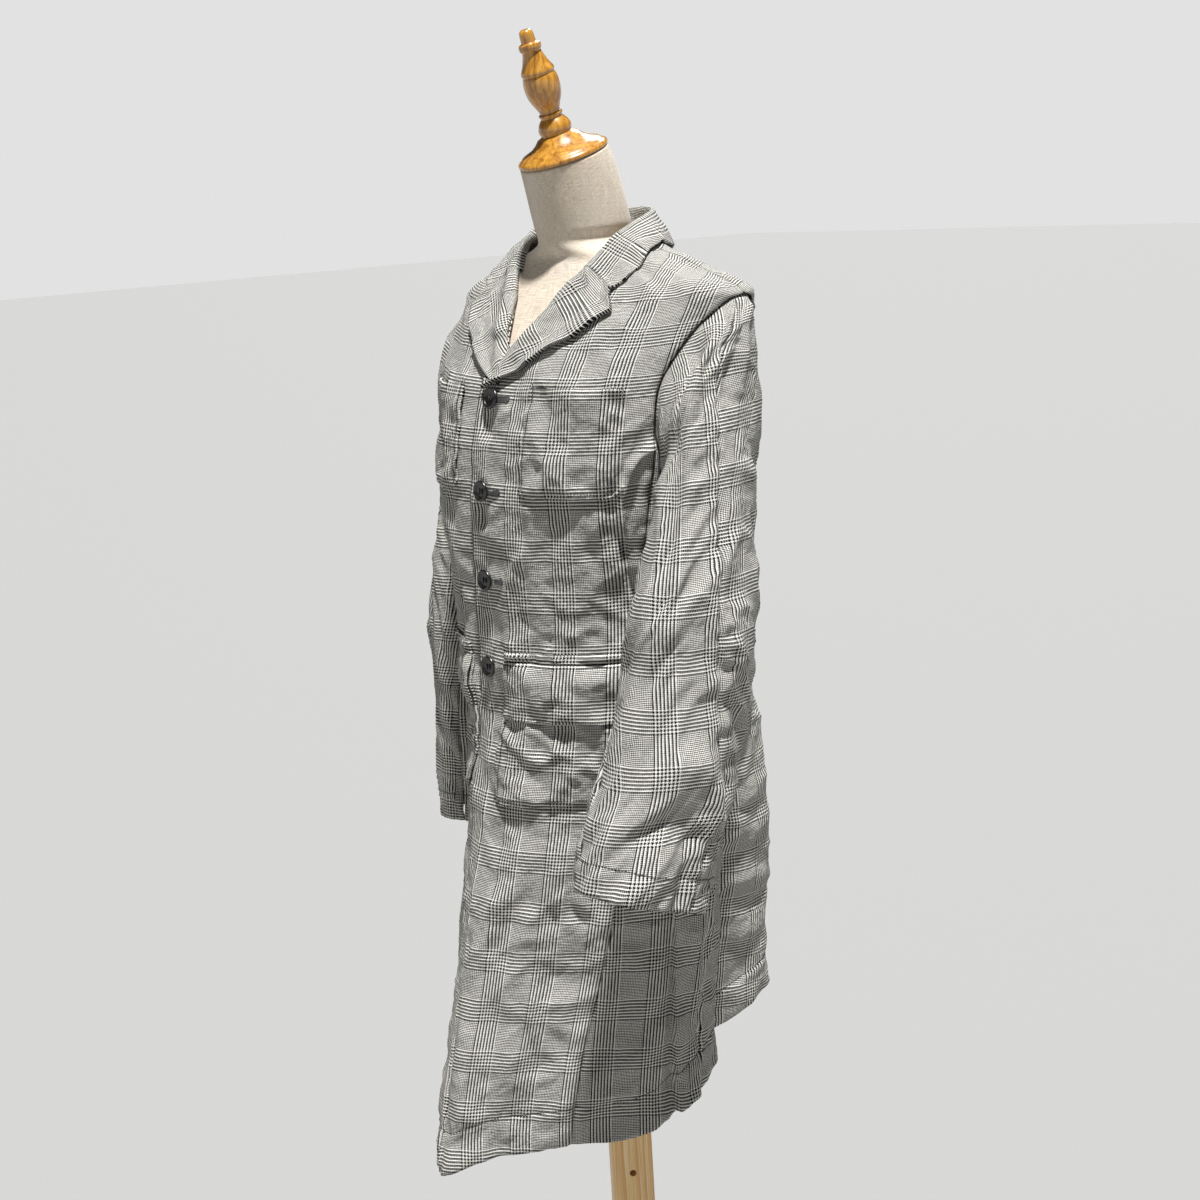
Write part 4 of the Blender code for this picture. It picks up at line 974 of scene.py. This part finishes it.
for side, word, table in ((1, "left", SLEEVE_LEFT), (-1, "right", SLEEVE_RIGHT)):
    # turn 0 is the outer side, 90 the back; the tube starts at the front seam
    turn = np.concatenate([np.linspace(-140, -14, 46), np.linspace(-14, -8, 9)[1:],
                           np.linspace(-8, -2, 9)[1:], np.linspace(-2, 220, 72)[1:]])
    sine, cosine = np.sin(np.radians(turn)), np.cos(np.radians(turn))
    most = np.where(sine > 0, ARM_BEHIND, ARM_AHEAD)
    swing = np.copysign(most * np.abs(sine) ** ARM_ROUND, sine)
    deep = TUCK * ease(cosine * 1.4)
    high = ARM + ARM_HALF * cosine * ARM_FIT
    at = side * (90.0 + swing * ARM_FIT)
    edge = worn(at, high, -deep)
    start = edge + (side * 0.0026, 0.0, 0.0)

    def sleeve_ring(row):
        z, outer, x, y, wide, long, drop = row
        spun = np.radians(turn + SEAM_SWING * ease((1.04 - z) / 0.14))
        return np.stack([x + side * wide * np.cos(spun), y + long * np.sin(spun),
                         z + outer * np.cos(spun) - drop * np.sin(spun)], -1)

    first = sleeve_ring(table[0])
    tube = [edge, start]
    for share in (0.3, 0.65):
        swell = SLEEVE_SWELL * math.sin(math.pi * share) * np.maximum(cosine, 0.0)[:, None]
        tube.append(start * (1 - share) + first * share + swell * (side, 0.0, 0.6))
    for upper, lower in zip(table[:3], table[1:4]):
        tube += [sleeve_ring(upper), sleeve_ring([(a + b) / 2 for a, b in zip(upper, lower)])]
    tube += [sleeve_ring(row) for row in table[3:]]
    tube = through(tube, 190)
    down, along, girth = run(tube), run(tube, 1), run(tube[100])
    lengthwise = down[-1] - down
    across = np.broadcast_to(girth - np.interp(-8.0, turn, girth), down.shape)
    out = unit(np.cross(np.gradient(tube, axis=1), np.gradient(tube, axis=0))) * (-side)
    relief = creased(across, down, SLEEVE_CREASES[word]) + 1.35 * washed(across, down, 60 + side)
    line = lengthwise - CUFF_TURN
    relief += sewn(line, across, 62, 0.0008, 0.0008) + 0.0005 * (line < 0)
    for seam in (0.0, across[0, 0], across[0, -1]):
        relief += sewn(across - seam, down, 63, 0.0024, 0.0013)
    behind = np.exp(-((across - 0.011) / 0.010) ** 2) * ease((down - 0.26) / 0.08)
    relief += 0.0042 * behind * crumple(down, across * 0.5, 0.013, 66)
    near_body = ease((np.abs((turn + SEAM_SWING + 180) % 360 - 180) - 90) / 50)
    relief *= 1.0 - 0.6 * near_body[None, :] * ease((0.30 - down) / 0.05)
    relief *= ease((down - 0.004) / 0.02)
    points = tube + out * relief[..., None]
    for part, cut, grain in (("top", slice(0, 54), 24), ("under", slice(53, None), 96)):
        # the weft runs level round the arm, and up the crown along each column
        z, middle = tube[..., 2], tube[:, grain]
        rise = (np.interp(z, middle[::-1, 2], lengthwise[::-1, grain])
                + np.minimum(z - middle[-1, 2], 0.0))
        high = np.array([np.interp(-CROWN, -z[:, k], lengthwise[:, k])
                         for k in range(z.shape[1])])
        crown = np.interp(CROWN, middle[::-1, 2], lengthwise[::-1, grain]) + lengthwise - high
        rise = np.where(z < CROWN, rise, crown)
        rise += 0.08 * (tube[..., 1] - middle[:, None, 1]) * ease((1.0 - z) / 0.15)
        chart = np.stack([along - along[:, grain:grain + 1], rise], -1)[::-1, cut]
        cloth_piece(f"sleeve_{word}_{part}", points[::-1, cut], chart,
                    turned=side < 0)
    row = int(np.argmin(np.abs(line[:, 100])))
    stitched_lines.append(points[row] + out[row] * 0.0004)


# ============================================================ pockets, flaps, welts
# Patch pockets with rounded lower corners, sewn on the fronts; the hip
# pockets have flaps, each under a narrow puckered welt.
CHEST_POCKET = (0.052, 0.140, 0.046, 0.138, 1.258, 1.163)
HIP_POCKET = (0.022, 0.130, 0.012, 0.126, 1.000, 0.862)
FLAP = (0.026, 0.136, 0.022, 0.134, 1.004, 0.945)
WELT = (0.026, 0.138, 0.026, 0.138, 1.014, 1.0055)
RIGHT_STARTS = 0.046
POCKET_CREASES = (
    # share across, up   to share across, up   half width  height (mm)
    (0.15, 0.85, 0.70, 0.35,  7.,  2.8),
    (0.35, 0.90, 0.90, 0.45,  7., -2.4),
    (0.05, 0.60, 0.55, 0.15,  6., -2.0),
    (0.10, 0.50, 0.35, 0.30,  6.,  2.2),
    (0.60, 0.30, 0.95, 0.15,  6.,  2.0),
)


def laid(side, sizes, rounding, sewn_edges, thick, creases, bulge, seed, lie=0.0006):
    """Points and chart of a piece laid on a front between two x and two levels."""
    inner_top, outer_top, inner_foot, outer_foot, top, bottom = sizes
    level = np.linspace(bottom, top, max(12, int((top - bottom) / 0.0024)))[:, None]
    lack = np.maximum(0.0, rounding - (level - bottom))
    corner = rounding - np.sqrt(np.maximum(0.0, rounding ** 2 - lack ** 2))
    share = (level - bottom) / (top - bottom)
    inner = inner_foot + (inner_top - inner_foot) * share
    outer = outer_foot + (outer_top - outer_foot) * share
    if side < 0:
        inner = np.maximum(inner, RIGHT_STARTS)
    inner, outer = inner + corner, outer - corner
    over = np.linspace(0, 1, 44)
    x = inner + (outer - inner) * over
    level = np.broadcast_to(level, x.shape)
    share = np.broadcast_to(share, x.shape)
    wide, high = outer_top - inner_top, top - bottom
    lines = [(a * wide, b * high, c * wide, d * high, e, f) for a, b, c, d, e, f in creases]
    edge = np.minimum(np.minimum(x - inner, outer - x), level - bottom)
    if not sewn_edges:
        edge = np.minimum(edge, top - level)
    middle = ease(edge / 0.022)
    relief = creased(over * wide, share * high, lines) * middle
    relief += bulge * ease(edge / min(0.012, high / 2))
    relief += sewn(edge - 0.0035, x + level, seed, 0.0005, 0.0005)
    if bulge > 0.002:
        relief += 0.0013 * crumple(x, level * 0.3, 0.0065, seed) * ease(edge / 0.002)
    relief += 0.9 * washed(x, level, seed)
    angle = side * angle_at(x, level)
    hinged = lie * (0.3 + 0.7 * ease((top - level) / 0.020))
    relief = np.maximum(relief, -0.0002) + hinged + thick
    if side < 0:
        relief = relief - underlap(x)
    points = worn(angle, level, relief)
    chart = coat_chart(angle, level, side * angle_at(EDGE_X, level))
    return points, chart


for side, word in SIDES:
    for part, values in (
            # sizes, rounding, sewn edges, thickness, creases, bulge, seed, lie
            ("chest_pocket", (CHEST_POCKET, 0.011, True, 0.0018, (), 0.0004, 71)),
            ("hip_pocket", (HIP_POCKET, 0.016, True, 0.0018, POCKET_CREASES, 0.0005, 72)),
            ("flap", (FLAP, 0.004, False, 0.0012, (), 0.0006, 73, 0.0048)),
            ("welt", (WELT, 0.0, False, 0.0026, (), 0.0036, 74))):
        points, chart = laid(side, *values)
        if part in ("chest_pocket", "hip_pocket"):
            ring = np.concatenate([points[:1:-1, 2], points[2, 2:-2], points[2:, -3]])
            stitched_lines.append(ring + (0.0, -0.0005, 0.0))
        cloth_piece(f"{part}_{word}", points, chart,
                    values[3], side < 0)


# ============================================================ stitching
# Rows of small machine stitches in dark thread: hem, cuffs, pocket edges.
# The thread is drawn several times as thick as a real one, so that it shows.
def thread(name, code):
    """Twisted sewing thread."""
    made, tree, shader = new_finish(name, Roughness=0.75, Sheen_Weight=0.3)
    place = add_node(tree, "ShaderNodeTexCoord").outputs["Object"]
    twist = add_node(tree, "ShaderNodeTexNoise", {"Vector": place, "Scale": 2200.0}).outputs["Fac"]
    colour = add_node(tree, "ShaderNodeValToRGB", {"Fac": twist},
                      stops=((0.3, code), (0.8, "#2c2c2e"))).outputs["Color"]
    tree.links.new(colour, shader.inputs["Base Color"])
    return made


def stitch_tree(finish):
    """Geometry nodes that set a stitch at every step along its lines."""
    tree = bpy.data.node_groups.new("row_of_stitches", "GeometryNodeTree")
    tree.interface.new_socket("Geometry", in_out="INPUT", socket_type="NodeSocketGeometry")
    tree.interface.new_socket("Geometry", in_out="OUTPUT", socket_type="NodeSocketGeometry")
    for name, value in (("Step", 0.0030), ("Stitch length", 0.0025), ("Thread radius", 0.0006)):
        tree.interface.new_socket(name, in_out="INPUT",
                                  socket_type="NodeSocketFloat").default_value = value
    given = add_node(tree, "NodeGroupInput")
    path = add_node(tree, "GeometryNodeMeshToCurve", {"Mesh": given.outputs["Geometry"]})
    spots = add_node(tree, "GeometryNodeResampleCurve", {
        "Curve": path.outputs[0], "Length": given.outputs["Step"]}, mode="LENGTH")
    ball = add_node(tree, "GeometryNodeMeshUVSphere", {"Segments": 6, "Rings": 4, "Radius": 1.0})
    half = add_node(tree, "ShaderNodeMath", {0: given.outputs["Stitch length"], 1: 0.5},
                    operation="MULTIPLY")
    size = add_node(tree, "ShaderNodeCombineXYZ", {
        0: given.outputs["Thread radius"], 1: given.outputs["Thread radius"],
        2: half.outputs[0]})
    turn = add_node(tree, "FunctionNodeAlignRotationToVector", {
        "Vector": add_node(tree, "GeometryNodeInputTangent").outputs[0]}, axis="Z")
    set_out = add_node(tree, "GeometryNodeInstanceOnPoints", {
        "Points": spots.outputs[0], "Instance": ball.outputs[0],
        "Rotation": turn.outputs[0], "Scale": size.outputs[0]})
    real = add_node(tree, "GeometryNodeRealizeInstances", {0: set_out.outputs[0]})
    coloured = add_node(tree, "GeometryNodeSetMaterial", {
        "Geometry": real.outputs[0], "Material": finish})
    add_node(tree, "NodeGroupOutput", {"Geometry": coloured.outputs[0]})
    return tree


def applied(thing):
    """A plain mesh of an object with its modifiers applied."""
    ready = thing.evaluated_get(bpy.context.evaluated_depsgraph_get())
    return bpy.data.meshes.new_from_object(ready)


def stitched(name, lines, tree, **sizes):
    """A mesh of stitches along lines of points."""
    vertices = np.concatenate(lines)
    edges, first = [], 0
    for line in lines:
        edges += [(first + i, first + i + 1) for i in range(len(line) - 1)]
        first += len(line)
    mesh = bpy.data.meshes.new(name + "_path")
    mesh.from_pydata(vertices.tolist(), edges, [])
    path = put(name + "_path", mesh)
    rule = path.modifiers.new("stitches", "NODES")
    rule.node_group = tree
    for socket in tree.interface.items_tree:
        if socket.in_out == "INPUT" and socket.name in sizes:
            rule[socket.identifier] = sizes[socket.name]
    made = put(name, applied(path))
    bpy.data.objects.remove(path)
    made.data.shade_smooth()
    return made


lines = list(stitched_lines)
span = np.arange(-8.0, 352.0, 0.5)
hem_angles = (span + 180) % 360 - 180
lines.append(worn(hem_angles, hem_at(hem_angles) + HEM_TURN, 0.0006))
for side, _ in SIDES:
    for x in (CHEST_POCKET[0] + 0.002, CHEST_POCKET[1] - 0.002):
        tack = np.linspace(CHEST_POCKET[4] - 0.006, CHEST_POCKET[4] + 0.003, 8)
        lines.append(worn(side * angle_at(x, tack), tack, 0.0034))
dark_thread = thread("dark_sewing_thread", "#0a0a0b")
row_of_stitches = stitch_tree(dark_thread)
stitches = stitched("coat_stitching", lines, row_of_stitches)
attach(stitches, "root")


# ============================================================ buttons
# Four dark horn buttons with a raised rim and four holes, sewn with two
# parallel bars of thread; the buttonholes are worked in black thread.
BUTTON_LEVELS = (1.248, 1.165, 1.081, 0.995)
HOLE_AWAY = 0.0018          # its four holes' distance from the middle, each way
BUTTON_PROFILE = ((0.0000, 0.0060), (0.0006, 0.0085), (0.0014, 0.0096), (0.0022, 0.0100),
                  (0.0032, 0.0099), (0.0040, 0.0093), (0.0043, 0.0086), (0.0040, 0.0078),
                  (0.0031, 0.0070), (0.0024, 0.0064), (0.0021, 0.0045), (0.0020, 0.0010))


def horn(name):
    """Dark horn: near black with faint brown streaks, softly polished."""
    made, tree, shader = new_finish(name, Roughness=0.3, Specular_IOR_Level=0.8)
    place = add_node(tree, "ShaderNodeTexCoord").outputs["Object"]
    streak = add_node(tree, "ShaderNodeTexNoise", {
        "Vector": add_node(tree, "ShaderNodeMapping", {
            "Vector": place, "Scale": (60.0, 60.0, 420.0)}).outputs["Vector"],
        "Scale": 1.0, "Detail": 3.0}).outputs["Fac"]
    colour = add_node(tree, "ShaderNodeValToRGB", {"Fac": streak},
                      stops=((0.4, "#080706"), (0.75, "#1c1512"))).outputs["Color"]
    tree.links.new(colour, shader.inputs["Base Color"])
    return made


dark_horn = horn("polished_dark_horn")
lines = []
for level in BUTTON_LEVELS:
    for half in (0.0007, 0.0019):
        bend = np.linspace(-90, 90, 9)
        x = np.concatenate([0.021 + half * np.cos(np.radians(bend)),
                            -0.001 - half * np.cos(np.radians(bend))])
        high = level + np.concatenate([half * np.sin(np.radians(bend)),
                                       -half * np.sin(np.radians(bend))])
        x, high = np.append(x, x[0]), np.append(high, high[0])
        lines.append(worn(angle_at(x, high), high, 0.0003))
    bend = np.radians(np.arange(0, 361, 30))
    for half in (0.0014, 0.0028):
        x, high = 0.0215 + half * np.cos(bend), level + half * np.sin(bend)
        lines.append(worn(angle_at(x, high), high, 0.0003))
buttonholes = stitched("coat_buttonholes", lines, row_of_stitches,
                       **{"Step": 0.0008, "Stitch length": 0.0018, "Thread radius": 0.0008})
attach(buttonholes, "root")
for number, level in enumerate(BUTTON_LEVELS, 1):
    out = Vector(coat_out(np.array(0.0), np.array(level)))
    seat = Vector(worn(np.array(0.0), np.array(level), np.array(0.0006)))
    facing = out.to_track_quat("Z", "Y").to_matrix().to_4x4()
    place = Matrix.Translation(seat) @ facing
    button = lathed(f"coat_button_{number}", BUTTON_PROFILE, 48, place, dark_horn)
    drill = bmesh.new()
    for x in (-HOLE_AWAY, HOLE_AWAY):
        for y in (-HOLE_AWAY, HOLE_AWAY):
            bmesh.ops.create_cone(drill, cap_ends=True, segments=12, radius1=0.0009,
                                  radius2=0.0009, depth=0.01,
                                  matrix=place @ Matrix.Translation((x, y, 0.003)))
    holes = put("drill", bpy.data.meshes.new("drill"))
    drill.to_mesh(holes.data)
    drill.free()
    cut = button.modifiers.new("holes", "BOOLEAN")
    cut.object, cut.operation = holes, "DIFFERENCE"
    solid = applied(button)
    button.modifiers.clear()
    button.data = solid
    button.data.materials.clear()
    button.data.materials.append(dark_horn)
    bpy.data.objects.remove(holes)
    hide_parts(f"button_{number}")
    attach(button, "root")

    bars = bmesh.new()
    for x in (-HOLE_AWAY, HOLE_AWAY):
        for lift in (0.0021, 0.0026):
            bmesh.ops.create_uvsphere(
                bars, u_segments=8, v_segments=6, radius=1.0,
                matrix=place @ Matrix.Translation((x + (lift - 0.00235) * 0.8, 0.0, lift))
                @ Matrix.Diagonal((0.0005, 0.0024, 0.0005, 1.0)))
    sewn_bars = put(f"coat_button_thread_{number}", bpy.data.meshes.new("bars"))
    bars.to_mesh(sewn_bars.data)
    bars.free()
    sewn_bars.data.materials.append(dark_thread)
    sewn_bars.data.shade_smooth()
    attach(sewn_bars, "root")


# ============================================================ floor, light, camera
# Plain pale floor and soft studio light; the camera stands where the
# photograph was taken from.
floor_mesh = bpy.data.meshes.new("floor")
floor_mesh.from_pydata([(-30, -30, -0.0005), (30, -30, -0.0005), (30, 30, -0.0005),
                        (-30, 30, -0.0005)], [], [(0, 1, 2, 3)])
floor_mesh.materials.append(
    new_finish("pale_floor", Base_Color=hex_colour("#8c8c8b"), Roughness=0.9)[0])
floor = put("floor", floor_mesh)

world = bpy.data.worlds.new("studio")
world.use_nodes = True
sky = add_node(world.node_tree, "ShaderNodeSeparateXYZ", {
    0: add_node(world.node_tree, "ShaderNodeTexCoord").outputs["Generated"]}).outputs[2]
tone = add_node(world.node_tree, "ShaderNodeValToRGB", {"Fac": sky},
                stops=((0.10, "#e2e2e2"), (0.20, "#3a3b3c"))).outputs["Color"]
world.node_tree.links.new(tone, world.node_tree.nodes["Background"].inputs["Color"])
bpy.context.scene.world = world
bpy.context.scene.view_settings.view_transform = "Standard"

for name, energy, softness, towards in (
        ("key", 7.2, 0.07, (0.25, -0.11, 0.962)),
        ("back", 1.2, 0.35, (-0.5, 0.6, 0.6))):
    lamp = bpy.data.lights.new(name, "SUN")
    lamp.energy, lamp.angle = energy, softness
    put(name, lamp).rotation_euler = Vector(towards).to_track_quat("Z", "Y").to_euler()

view = bpy.data.cameras.new("camera")
view.lens, view.sensor_width = 60.0, 36.0
camera = put("camera", view)
right, forward = Vector((0.651, 0.757, -0.058)).normalized(), Vector((-0.749, 0.629, -0.208))
up = right.cross(forward).normalized()
camera.matrix_world = Matrix.Translation((1.463, -1.224, 1.444)) @ Matrix(
    (right, up, right.cross(up))).transposed().to_4x4()
bpy.context.scene.camera = camera
